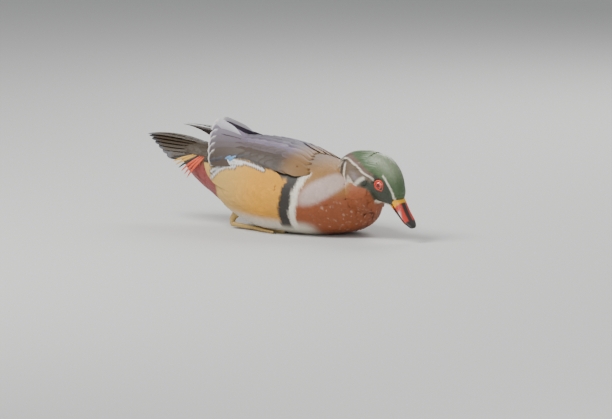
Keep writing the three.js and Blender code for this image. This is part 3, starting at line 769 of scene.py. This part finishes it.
t, angle = scatter(head, 28.4, -40, fine, lambda x: fine(x) * 0.75)
p = head.at(t, angle, 0.0)
EYE_MIDDLE = np.array([0.5, 12.9, 1.0])
away = np.linalg.norm(np.abs(p) * [0, 1, 0] + p * [1, 0, 1] - EYE_MIDDLE, axis=1)
bill_root = (p[:, 0] > 24.5) & (p[:, 2] < 0) & (p[:, 2] > -14.5)
keep = (away > 7.6) & ~bill_root & near_skin(from_head(head.at(t, angle, -HEAD_COAT_DEPTH)), 2.2)
t, angle = t[keep], angle[keep]
size = fine(head.section(t)[:, 0])
root, tip, out = lie(head, t, angle, size * 2.5, size * 0.14 + 0.4, 0.0, 0.08)
made = vanes(root, tip, out, size * 1.5, rows=4, cols=3, thick=0.2, arch=0.15, cup=0.2, shape=2.6)
colours = head_colour(made[0]) * rng.normal(1, 0.05, (len(t), 1, 1))
groups = [((from_head(made[0]), made[1], made[2]), colours, bake_place(head, t, angle))]
coat("head_feathers", groups, silky)

# Crest: a mane of long narrow feathers from the crown and nape that hangs to the mantle.
# They lie in layers over the soft back of the head, the longest from the crown.
# White lines run along its sides, and its hind edge is dark with a pale rim.
CREST_LAYERS = 5
CREST_COUNT = 34
FALL = [0, 40, 90, 130, 172]
layers = []
for side in (-1, 1):
    for layer in range(CREST_LAYERS):
        angle = side * np.radians(np.linspace(2, 172, CREST_COUNT) + rng.normal(0, 1.5, CREST_COUNT))
        start = -14 - 8.5 * layer + rng.normal(0, 1.2, CREST_COUNT)
        degrees = np.abs(np.degrees(angle))
        root = np.where(
            (start > -26)[:, None],
            head.at(head.place(start), angle, np.full(CREST_COUNT, -0.6)),
            crest.at(crest.place(np.minimum(start, -24.0)), angle, np.full(CREST_COUNT, 0.2)),
        )
        reach = (CREST_LAYERS - 1 - layer) / (CREST_LAYERS - 1)
        end_f = np.interp(degrees, FALL, [-70, -71.5, -67, -60, -50]) + 19.8 * reach
        end_u = np.interp(degrees, FALL, [-13, -18, -30, -37, -41])
        end_u = end_u + reach * np.interp(degrees, FALL, [14, 12, 9, 4, 2])
        end_s = -side * np.interp(degrees, FALL, [1, 4, 7.5, 8, 2])
        end_s = end_s - side * reach * np.interp(degrees, [0, 90, 172], [1, 6, 4])
        tip = np.stack([end_f, end_s, end_u], -1) + rng.normal(0, 0.6, (CREST_COUNT, 3))
        out = crest.normal(crest.place(np.clip(start, -55, -26)), angle)
        made = vanes(root, tip, out, 5.0 + rng.normal(0, 0.3, CREST_COUNT), rows=22, cols=5, thick=0.25,
                     arch=5.5 - 0.5 * layer, cup=0.12, shape=2.2, slim=0.7)
        colours = head_colour(made[0]) * rng.normal(1, 0.04, (CREST_COUNT, 1, 1))
        bake = np.stack([0.1 + 0.16 * layer + 0 * angle, 0.5 + angle / (2 * np.pi) * 0.96], -1)
        layers.append(((from_head(made[0]), made[1], made[2]), colours, bake))
crest_coat = coat("crest_feathers", layers, silky)
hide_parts("crest")

# Wings: flight and covert feathers in tiers, folded along the back.
# Primaries lie lowest and point over the tail, then secondaries, broad tertials, coverts and scapulars.
# Each is a stiff vane, darker along its shaft, and the tertials end in a white rim.
stiff = plumage("stiff feathers", roughness=0.55, sheen=0.02, barb_size=0.9, gloss=0.04)


def tinted(made, base, tip_colour=None, tip_from=0.93):
    """Vane colours: a base that is darker along the shaft, with a rim at the tip where one is given."""
    points, _, (across, along, frac, over) = made
    base = np.broadcast_to(np.asarray(base, float), (len(points), 3))
    colour = np.repeat(base[:, None], points.shape[1], 1) * rng.normal(1, 0.07, (len(points), 1, 1))
    colour = colour * (0.9 + 0.16 * smooth(0.1, 0.9, np.abs(over)))[..., None]
    if tip_colour is not None:
        reach = frac + 0.05 * over ** 2
        colour = blend(colour, tip_colour, smooth(tip_from - 0.015, tip_from + 0.01, reach))
    return colour


CORNER_LOW = np.array([-125.0, -47, 79])
CORNER_HIGH = np.array([-145.0, -7, 122])
WING_BROWN = np.array([0.07, 0.045, 0.03])
SPECULUM = np.array([0.09, 0.26, 0.48])
# Lavender grey: a painted sheen of sky light on the wing's upward-facing feathers.
PAINTED_SHEEN_MAUVE = np.array([0.24, 0.19, 0.27])
WHITE = np.array([0.82, 0.79, 0.75])


def wing(side):
    groups = []

    def put(root, tip, out, tip_out, base, width, bronzed=False, **more):
        rim = {k: more.pop(k) for k in ("tip_colour", "tip_from") if k in more}
        n = len(root)
        flip = np.array([1, side, 1])
        tip_out = tip_out * flip
        made = vanes(root * flip, tip * flip, out * flip, width, tip_out, rows=12, cols=7, **more)
        colours = tinted(made, base, **rim)
        if bronzed:
            x = made[0][..., 0]
            colours = blend(colours, BRONZE * 0.85, smooth(-30, -6, x) * 0.85)
        number = sum(len(g[0][0]) for g in groups) + np.arange(n)
        bake = np.stack([0.06 + 0.088 * (number % 11), 0.06 + 0.088 * (number // 11)], -1)
        groups.append((made, colours, bake))

    on = body.on
    out_at = body.out
    i = np.arange(5)
    put(on(-74 + 0.0 * i, 22 + 3.0 * i, 2.5 + 0 * i),
        np.array([-190.0, -4, 112.5]) + i[:, None] * [6.0, -1.0, -0.1],
        out_at(-90 + 0 * i, 20 + 0.0 * i), np.tile([0, -0.1, 1.0], (5, 1)),
        [0.045, 0.03, 0.025], 6.5, arch=3.0 - 2.0 * i, thick=0.6, shape=3, cup=0.0)
    i = np.arange(9)
    u = ((i / 8)[:, None]) ** 1.5
    put(on(-22 - 4.0 * i, 47 + 0.0 * i, 2.5 + 0 * i),
        np.array([-80.0, -50, 85]) * (1 - u) + CORNER_LOW * u + rng.normal(0, 0.4, (9, 3)),
        out_at(-50 + 0 * i, 55 + 0.0 * i), np.tile([0, -0.9, 0.4], (9, 1)),
        np.array([[0.04, 0.04, 0.045]] * 4 + [SPECULUM] * 3 + [[0.05, 0.045, 0.05]] * 2), 13.0,
        arch=1.0, thick=0.5, roll=-0.12 * side, shape=3)
    # Tertials: brown below, turning mauve towards the top, where the mauve is painted sheen.
    i = np.arange(5)
    u = ((i + 0.5) / 5)
    put(on(-58 - 5.0 * i, np.interp(u, [0, 1], [50, 18]), 2.5 + 0 * i),
        CORNER_LOW * (1 - u[:, None]) + CORNER_HIGH * u[:, None]
        + np.stack([-1 - 3 * np.sin(3 * u), 0 * u, -5 * u], -1),
        out_at(-80 + 0 * i, np.interp(u, [0, 1], [55, 25])), np.tile([0.1, -0.85, 0.5], (5, 1)),
        np.linspace(WING_BROWN, PAINTED_SHEEN_MAUVE * 0.7, 5), np.linspace(24, 22, 5),
        arch=np.linspace(3, -3, 5), thick=0.6, roll=-0.1 * side, shape=7, cup=0.05,
        tip_colour=WHITE, tip_from=0.982)
    # The raised tertial is painted pale grey: a painted sky reflection on its upturned vane, above its real
    # white rim.
    put(on(np.array([-94.0]), np.array([17.0]), np.array([1.5])), np.array([[-145.0, -8, 117]]),
        unit(np.array([[0.0, -1, 0.15]])), unit(np.array([[0.0, -1, 0.15]])), [0.55, 0.52, 0.55], 19.0,
        thick=0.5, shape=12, cup=0.05, slim=0.3, tip_colour=WHITE, tip_from=0.965)
    i = np.arange(8)
    put(on(-4 - 8.0 * i, 45 + 0.0 * i, 3.2 + 0 * i), on(-42 - 8.4 * i, 54 - 0.9 * i, 5.6 + 0.35 * i),
        out_at(-20 - 8.0 * i, 50 + 0.0 * i), out_at(-40 - 8.0 * i, 53 + 0.0 * i),
        WING_BROWN, 15.0, bronzed=True, arch=1.0, thick=0.45, roll=-0.1 * side)
    # Scapular rows: the rows nearest the back are painted mauve, a painted sheen where they face up.
    for row, (start, end, count, colour) in enumerate([
        (46, 51, 9, WING_BROWN * 0.75),
        (38, 44, 9, WING_BROWN * 0.85),
        (28, 33, 10, WING_BROWN * 0.8 + PAINTED_SHEEN_MAUVE * 0.18),
        (18, 22, 10, PAINTED_SHEEN_MAUVE * 0.75),
        (11, 13, 9, PAINTED_SHEEN_MAUVE * 0.45),
        (3, 4, 10, PAINTED_SHEEN_MAUVE * 0.35),
    ]):
        i = np.arange(count)
        x = 12 - 10.5 * i - 3.5 * row
        put(on(x, start + rng.normal(0, 1, count), np.where(i < 2, -0.5, 3.2)),
            on(x - 34 + rng.normal(0, 1.5, count), end + 0.0 * i, 6.4 + 0.25 * i),
            out_at(x, start + 0.0 * i), out_at(x - 25, end + 0.0 * i), colour, 17.0,
            bronzed=True, arch=1.0, thick=0.4, roll=-0.08 * side, slim=0.35)
    return groups


for name, side in (("right", 1), ("left", -1)):
    made_wing = coat("wing_feathers_" + name, wing(side), stiff)
    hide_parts("wing_" + name)

# Long side feathers: the upper flank feathers with black and white ends, laid over the wing's edge.
# They make the white line with its black borders, and fan into stripes over the rump's side.
# Each is a broad soft vane, gold with bands of white and black towards its end.
silky_side = plumage("fine side feathers", roughness=0.55, sheen=0.05, barb_size=0.6)
SIDE_LINES = (
    [(-40, 75), (-54, 78.5), (-70, 81), (-87, 82), (-106, 80), (-124, 73.5)],
    [(-74, 79), (-92, 78.5), (-108, 74.5), (-124, 66)],
    [(-84, 75), (-97, 74), (-110, 69), (-124, 58.5)],
)


def side_colour(p):
    """Golden feathers, crossed by the white lines with black borders that end in stripes."""
    flat = p[..., [0, 2]]
    x, z = p[..., 0], p[..., 2]
    colour = blend(GOLD, PALE_GOLD, smooth(-40, -110, x))
    for line in SIDE_LINES:
        colour = blend(colour, DARK, stroke(flat, line, 5.6, 0.5))
    for line in SIDE_LINES:
        colour = blend(colour, WHITE, stroke(flat, line, 2.7, 0.35))
    top = np.interp(x, [-123, -108, -87, -67, -44, -15], [74, 80, 84, 83, 78, 70])
    return blend(colour, DARK, smooth(top + 0.5, top + 1.5, z))


ENDS_AT = [-125, -110, -95, -80, -65, -50, -35]
END_DEGREES = [72, 62, 55.5, 52.5, 53.5, 56, 60]
flank_groups = []
for side in (1, -1):
    for tier in range(3):
        count = 15
        i = np.arange(count)
        x = -10 - 6.4 * i
        sweep = 31 + 0.3 * i
        end = np.interp(x - sweep, ENDS_AT, END_DEGREES) + 4.0 * tier
        start = end + np.interp(x, [-100, -60, -10], [14, 17, 16])
        root = body.on(x, side * start, np.where(i < 2, -0.5, 2.2))
        tip = body.on(x - sweep, side * end, 8.0 - 1.3 * tier - 0.05 * i)
        out = body.out(x - 10, side * start)
        made = vanes(root, tip, out, 13.0, rows=22, cols=7, thick=0.2, arch=1.0, roll=0.05 * side, cup=0.04,
                     shape=2.6, slim=0.25)
        bake = np.stack([0.05 + 0.06 * i, np.full(count, 0.3 + 0.2 * tier + 0.1 * side)], -1)
        flank_groups.append((made, side_colour(made[0]), bake))
coat("side_feathers", flank_groups, silky_side)

# Tail: long stiff feathers in a roofed fan over soft coverts, with hair-like plumes beside the rump.
# The tail feathers are dark bronze-brown, and the plumes are orange-red, yellow and black filaments.
# All are rooted in the end of the rump, and each side mirrors the other.
tail_groups = []
for side in (1, -1):
    k = np.arange(7)
    u = k / 6
    lean = np.radians(8 + 52 * u)
    out = np.stack([0 * u, -side * np.sin(lean), np.cos(lean)], -1)
    root = np.stack([-156 + 0 * u, -side * (2.5 + 11 * u), 90 - 6 * u], -1)
    tip = np.stack([-240 + 40 * u ** 1.25, -side * (4 + 20 * u), 98 - 20 * u ** 1.5], -1)
    made = vanes(root, tip, out, 16.0, rows=14, cols=7, thick=0.3, arch=4.5 - 5 * u, roll=0.03 * side,
                 shape=3.5, cup=0.02, ragged=0.015)
    colours = tinted(made, TAIL_BROWN)
    # The tail feathers' tips are painted bluish grey: a painted highlight of sky light on the dark
    # bronze-brown.
    colours = blend(colours, [0.07, 0.07, 0.08], smooth(0.8, 0.95, made[2][2]))
    bake = np.stack([0.1 + 0.12 * k, np.full(7, 0.2 + 0.05 * side)], -1)
    tail_groups.append((made, colours, bake))
    t, angle = scatter(body, -140, -200, lambda x: 5.5, lambda x: 5.5)
    keep = (np.sin(angle) * side > 0) & (np.abs(np.degrees(angle)) < 178)
    t, angle = t[keep], angle[keep]
    length = np.interp(body.section(t)[:, 0], [-200, -140], [13.0, 24.0])
    root, tip, out = lie(body, t, angle, length, 1.5 + 0 * t, 0.0, 0.1)
    made = vanes(root, tip, out, 9.0, rows=6, cols=3, thick=0.35, arch=0.8, cup=0.15, shape=2.4)
    tail_groups.append((made, body_colour(made[0]), bake_place(body, t, angle)))
    i = np.arange(7)
    root = body.on(-146 - 3.2 * i, side * (60 + 1.0 * i), -1.0 + 0 * i)
    tip = np.stack([-168 - 4.5 * i, -side * (29.5 - 0.9 * i), 54 + 3.4 * i], -1)
    out = np.tile(unit(np.array([0.2, -side, 0.2])), (7, 1))
    made = vanes(root, tip, out, 2.6, rows=9, cols=3, thick=0.8, arch=4.5, slim=0.9)
    plume = np.array([[0.8, 0.1, 0.03]] * 3 + [DARK] + [[0.75, 0.4, 0.06]] * 2 + [DARK])
    colours = np.repeat(plume[:, None], made[0].shape[1], 1)
    bake = np.stack([0.1 + 0.12 * i, np.full(7, 0.7 + 0.05 * side)], -1)
    tail_groups.append((made, colours, bake))
tail_coat = coat("tail_feathers", tail_groups, stiff)
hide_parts("tail")

# Eyes: wet red globes with a round black pupil, each in a ring of bare red skin.
# The globe is clear-coated so that it shines, and the ring is soft skin with fine folds.
# The ring's front corner is drawn out towards the bill.


def painted(name, roughness, gloss, grain_scale, relief):
    """Bare skin or horn: colours from the paint attribute over a fine grain."""
    material = finish(name, {
        "Roughness": roughness,
        "Coat Weight": gloss,
        "Coat Roughness": 0.05,
        "Subsurface Weight": 0.05,
        "Subsurface Scale": 0.002,
    })
    grained(material, grain_scale, 2, relief)
    return material


EYE_RADIUS = 5.4
RING_RADIUS = 5.35
RING_THICKNESS = 1.05
EYE_ROWS = 39
EYE_SIDES = 48
RING_SIDES = 12
eye_surface = painted("wet eye", 0.12, 1.0, 300, 0.0)
ring_surface = painted("eye ring", 0.35, 0.3, 1500, 0.4)
for name, side in (("right", -1), ("left", 1)):
    aim = unit(np.array([0.26, side, 0.06]))
    across = unit(np.cross(aim, [0, 0, 1.0]))
    upward = np.cross(across, aim)
    polar = np.linspace(0, np.pi, EYE_ROWS + 2)[1:-1]
    turn = np.linspace(0, 2 * np.pi, EYE_SIDES, endpoint=False)
    a, b = np.meshgrid(polar, turn, indexing="ij")
    local = np.stack([np.sin(a) * np.cos(b), np.sin(a) * np.sin(b), np.cos(a)], -1).reshape(-1, 3)
    local = np.vstack([local, [[0, 0, 1], [0, 0, -1]]])
    bulge = EYE_RADIUS + 0.35 * smooth(0.75, 1.0, local[:, 2])
    centre = EYE_MIDDLE * [1, side, 1]
    points = centre + (local[:, :1] * across + local[:, 1:2] * upward + local[:, 2:] * aim) * bulge[:, None]
    faces = [face[::-1] for face in tube_faces(EYE_ROWS, EYE_SIDES)]
    eye = new_mesh("eyeball_" + name, from_head(points), faces)
    spread = np.degrees(np.arccos(np.clip(local[:, 2], -1, 1)))
    colour = blend(np.array([0.62, 0.02, 0.015]), [0.8, 0.08, 0.03], smooth(24, 40, spread))
    colour = blend(colour, [0.004, 0.004, 0.004], smooth(20.5, 18, spread))
    add_values(eye, "paint", "FLOAT_COLOR", colour)
    eye.data.materials.append(eye_surface)
    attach(eye, "root")
    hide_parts("eye_" + name)
    round_tube = np.linspace(0, 2 * np.pi, RING_SIDES, endpoint=False)
    a, b = np.meshgrid(turn, round_tube, indexing="ij")
    corner_at = math.radians(-32 if side > 0 else 212)
    from_corner = np.mod(a - corner_at + np.pi, 2 * np.pi) - np.pi
    corner = 1 + 0.26 * np.exp(-(from_corner / 0.4) ** 2)
    radius = (RING_RADIUS + RING_THICKNESS * np.cos(b)) * corner
    lift = 2.9 + 1.0 * np.sin(b)
    points = centre + ((radius * np.cos(a))[..., None] * across + (radius * np.sin(a))[..., None] * upward
                       + lift[..., None] * aim)
    faces = []
    for i in range(EYE_SIDES):
        for j in range(RING_SIDES):
            m = (i + 1) % EYE_SIDES
            k = (j + 1) % RING_SIDES
            faces.append((i * RING_SIDES + j, m * RING_SIDES + j, m * RING_SIDES + k, i * RING_SIDES + k))
    ring = new_mesh("eye_ring_" + name, from_head(points.reshape(-1, 3)), faces)
    add_values(ring, "paint", "FLOAT_COLOR", np.tile([0.72, 0.05, 0.02], (len(faces), 1)))
    ring.data.materials.append(ring_surface)
    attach(ring, "root")

# Bill: two halves of smooth horn, the upper with a dark nail at its tip and sunken nostrils.
# It is red with a yellow line at its root, white ahead on the sides, and black on the ridge and tip.
# The gape is the fine gap between the halves, which runs back under the cheek.
upper_bill = Loft(
    [
        [58, 0, -22.5, -22.5, -22.5],
        [55.5, 5, -20.3, -22.6, -24.4],
        [49, 7.8, -17.6, -19.8, -21.6],
        [40, 8.3, -13, -16.6, -18.8],
        [31, 8.7, -6.8, -13, -15.9],
        [24, 9.2, -3, -9.5, -13.4],
        [18, 8, -2, -8, -11.5],
        [16, 0, -7, -7, -7],
    ],
    [2.2, 3],
)
lower_bill = Loft(
    [
        [54.2, 0, -23.6, -23.6, -23.6],
        [52, 4.4, -22.8, -23.6, -24.6],
        [46, 6.6, -21.7, -22.4, -23.9],
        [36, 7.2, -18.6, -19.4, -21.6],
        [26, 7.6, -15.5, -16.4, -19.2],
        [19, 7, -13.6, -14.8, -17.4],
        [16, 0, -14.5, -14.5, -14.5],
    ],
    [3, 2.2],
)
NOSTRIL_X = 33.5
horn = painted("horn", 0.3, 0.3, 700, 0.15)
for name, form in (("upper", upper_bill), ("lower", lower_bill)):
    points, faces = loft_mesh(form, 64, 56)
    if name == "upper":
        for side in (-1, 1):
            hole = (points - [NOSTRIL_X, side * 8.2, -10.4]) / [2.9, 3.0, 1.0]
            hole[:, 2] += (points[:, 0] - NOSTRIL_X) * 0.55
            inside = 1 - smooth(0.5, 1.0, np.linalg.norm(hole, axis=1))
            points[:, 1] -= side * 1.6 * inside
    f, s, u = points.T
    ahead = smooth(33, 38, f) * smooth(51, 47, f) * smooth(-1.0, -3.5, u - (-6.8 - 0.75 * (f - 31)))
    colour = blend(np.array([0.62, 0.05, 0.03]), [0.8, 0.72, 0.66], ahead)
    ridge = smooth(3.8, 2.4, np.abs(s)) * smooth(26, 31, f)
    colour = blend(colour, DARK, np.maximum(ridge, smooth(48.5, 50.5, f)))
    base = smooth(29.2, 28.0, f - 0.22 * (u + 14)) if name == "upper" else smooth(25, 23, f)
    colour = blend(colour, [0.9, 0.4, 0.0], base)
    if name == "lower":
        colour = blend(colour, DARK * 1.5, smooth(24, 28, f))
    bill = new_mesh("horn_" + name, from_head(points), faces)
    add_values(bill, "paint", "FLOAT_COLOR", colour)
    bill.data.materials.append(horn)
    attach(bill, "root")
    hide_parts("bill_" + name)

# Feet: scaled yellow skin over thin bone, three webbed toes ahead and a small one behind.
# The shank lies along the floor beside the belly, and each toe ends in a dark claw.
# The web is one thin sheet between the toes.
foot_skin = painted("foot skin", 0.5, 0.1, 1100, 0.6)


def tube(points, radii, around=14, steps=10):
    """A round rod along a bent line, with closed ends."""
    line = np.array(points, float)
    u = np.linspace(0, len(line) - 1, steps * (len(line) - 1) + 1)
    centre = np.stack([np.interp(u, range(len(line)), line[:, k]) for k in range(3)], -1)
    for _ in range(6):
        centre[1:-1] = (centre[:-2] + 2 * centre[1:-1] + centre[2:]) / 4
    radius = np.interp(u, np.linspace(0, len(line) - 1, len(radii)), radii)
    along = unit(np.gradient(centre, axis=0))
    side = unit(np.cross(along, [0, 0, 1.0]))
    up = np.cross(side, along)
    a = np.linspace(0, 2 * np.pi, around, endpoint=False)
    rings = centre[:, None] + radius[:, None, None] * (
        np.cos(a)[None, :, None] * side[:, None] + np.sin(a)[None, :, None] * up[:, None])
    ends = [centre[0] - along[0] * radius[0] * 0.5, centre[-1] + along[-1] * radius[-1] * 0.5]
    points = np.vstack([rings.reshape(-1, 3)] + ends)
    points[:, 2] = np.maximum(points[:, 2], 0.05)
    return points, tube_faces(len(u), around)


for name, side in (("right", 1), ("left", -1)):
    flip = np.array([1, side, 1])
    pad = np.array([-74.0, -33, 3.4])
    toes = [np.array([-34.0, -25, 1.6]), np.array([-27.0, -35, 1.6]), np.array([-36.0, -45, 1.6])]
    parts = [
        tube(np.array([[-96, -27, 21], [-104, -29, 12], [-104, -30, 5]]) * flip, [5.5, 3.6, 2.8]),
        tube(np.array([[-104, -30, 5], pad]) * flip, [2.8, 2.3]),
        tube(np.array([pad + [-2, 2, -0.4], pad + [-9, 9, -2]]) * flip, [1.6, 0.8]),
    ]
    claws = []
    for toe in toes:
        middle = (pad + toe) / 2
        middle[2] = 2.2
        parts.append(tube(np.array([pad, middle, toe]) * flip, [2.4, 1.7, 2.1, 1.5, 1.8, 1.2]))
        ahead = unit(toe - pad)
        claw = toe + ahead * 4.5
        claw[2] = 0.8
        knuckle = (toe + claw) / 2 + [0, 0, 0.8]
        claws.append(tube(np.array([toe - ahead, knuckle, claw]) * flip, [1.2, 0.9, 0.3]))
    for a, b in zip(toes[:-1], toes[1:]):
        grid = []
        for u in np.linspace(0.08, 1, 12):
            for v in np.linspace(0, 1, 9):
                edge = a * (1 - v) + b * v
                reach = u * (1 - 0.24 * math.sin(math.pi * v))
                spot = pad * (1 - reach) + edge * reach
                spot[2] = 1.25 - 0.25 * math.sin(math.pi * v)
                grid.append(spot)
        top = np.array(grid)
        low = top - [0, 0, 0.7]
        faces = []
        for i in range(11):
            for j in range(8):
                q = i * 9 + j
                faces.append((q, q + 1, q + 10, q + 9))
                faces.append((108 + q, 108 + q + 9, 108 + q + 10, 108 + q + 1))
        rim = [j for j in range(8)] + [i * 9 + 8 for i in range(11)]
        rim = rim + [99 + j for j in range(8, 0, -1)] + [i * 9 for i in range(11, 0, -1)]
        for m in range(len(rim)):
            q, r = rim[m], rim[(m + 1) % len(rim)]
            faces.append((q, 108 + q, 108 + r, r))
        parts.append((np.vstack([top, low]) * flip, faces))
    skin_count = sum(len(p) for p, _ in parts)
    points, faces = joined_parts(parts + claws)
    if side > 0:
        faces = [f[::-1] for f in faces]
    foot = new_mesh("webbed_foot_" + name, points, faces)
    bands = 0.5 + 0.5 * np.sin(points[:, 0] * 2.2)
    colour = blend(np.array([0.5, 0.33, 0.1]), [0.34, 0.2, 0.06], bands * 0.6)
    colour[skin_count:] = DARK
    add_values(foot, "paint", "FLOAT_COLOR", colour)
    foot.data.materials.append(foot_skin)
    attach(foot, "root")
    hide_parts("foot_" + name)

# Floor, light and camera: a pale plain floor, a soft light from above, and weaker ones in front and behind.
# The camera looks along the photo's line of sight through a long lens, with the photo's framing.
floor_mesh = bpy.data.meshes.new("floor")
floor_mesh.from_pydata([(-20, -20, 0), (20, -20, 0), (20, 20, 0), (-20, 20, 0)], [], [(0, 1, 2, 3)])
floor = bpy.data.objects.new("floor", floor_mesh)
bpy.context.scene.collection.objects.link(floor)
floor_mesh.materials.append(finish("pale floor", {"Base Color": (0.62, 0.62, 0.6, 1), "Roughness": 0.8}))
studio = bpy.data.worlds.new("studio")
studio.use_nodes = True
studio.node_tree.nodes["Background"].inputs["Color"].default_value = (0.94, 0.96, 1, 1)
studio.node_tree.nodes["Background"].inputs["Strength"].default_value = 0.38
bpy.context.scene.world = studio
AROUND = math.radians(34)
ABOVE = math.radians(7.5)
right = Vector((math.cos(AROUND), math.sin(AROUND), 0))
toward = Vector((
    math.sin(AROUND) * math.cos(ABOVE),
    -math.cos(AROUND) * math.cos(ABOVE),
    math.sin(ABOVE),
))
upward = toward.cross(right)
target = Vector((SHIFT * 0.001, 0, 0)) + right * -0.01805 + upward * 0.02575
for name, offset, size, power in (
    ("key", Vector((-0.5, -0.9, 1.5)), 0.9, 38),
    ("front", Vector((1.6, -1.2, 0.7)), 1.2, 11),
    ("back", Vector((-0.2, 1.3, 1.1)), 1.0, 18),
):
    data = bpy.data.lights.new(name, "AREA")
    data.size = size
    data.energy = power
    light = bpy.data.objects.new(name, data)
    light.location = offset
    light.rotation_euler = (-offset).to_track_quat("-Z", "Y").to_euler()
    bpy.context.scene.collection.objects.link(light)
DISTANCE = 12.0
PIXELS_PER_METRE = 870.0
PHOTO_WIDTH = 612
camera_data = bpy.data.cameras.new("camera")
camera_data.sensor_width = 36
camera_data.lens = 36 * DISTANCE * PIXELS_PER_METRE / PHOTO_WIDTH
camera_data.clip_end = 60
camera = bpy.data.objects.new("camera", camera_data)
camera.location = target + toward * DISTANCE
camera.rotation_euler = toward.to_track_quat("Z", "Y").to_euler()
bpy.context.scene.collection.objects.link(camera)
bpy.context.scene.camera = camera
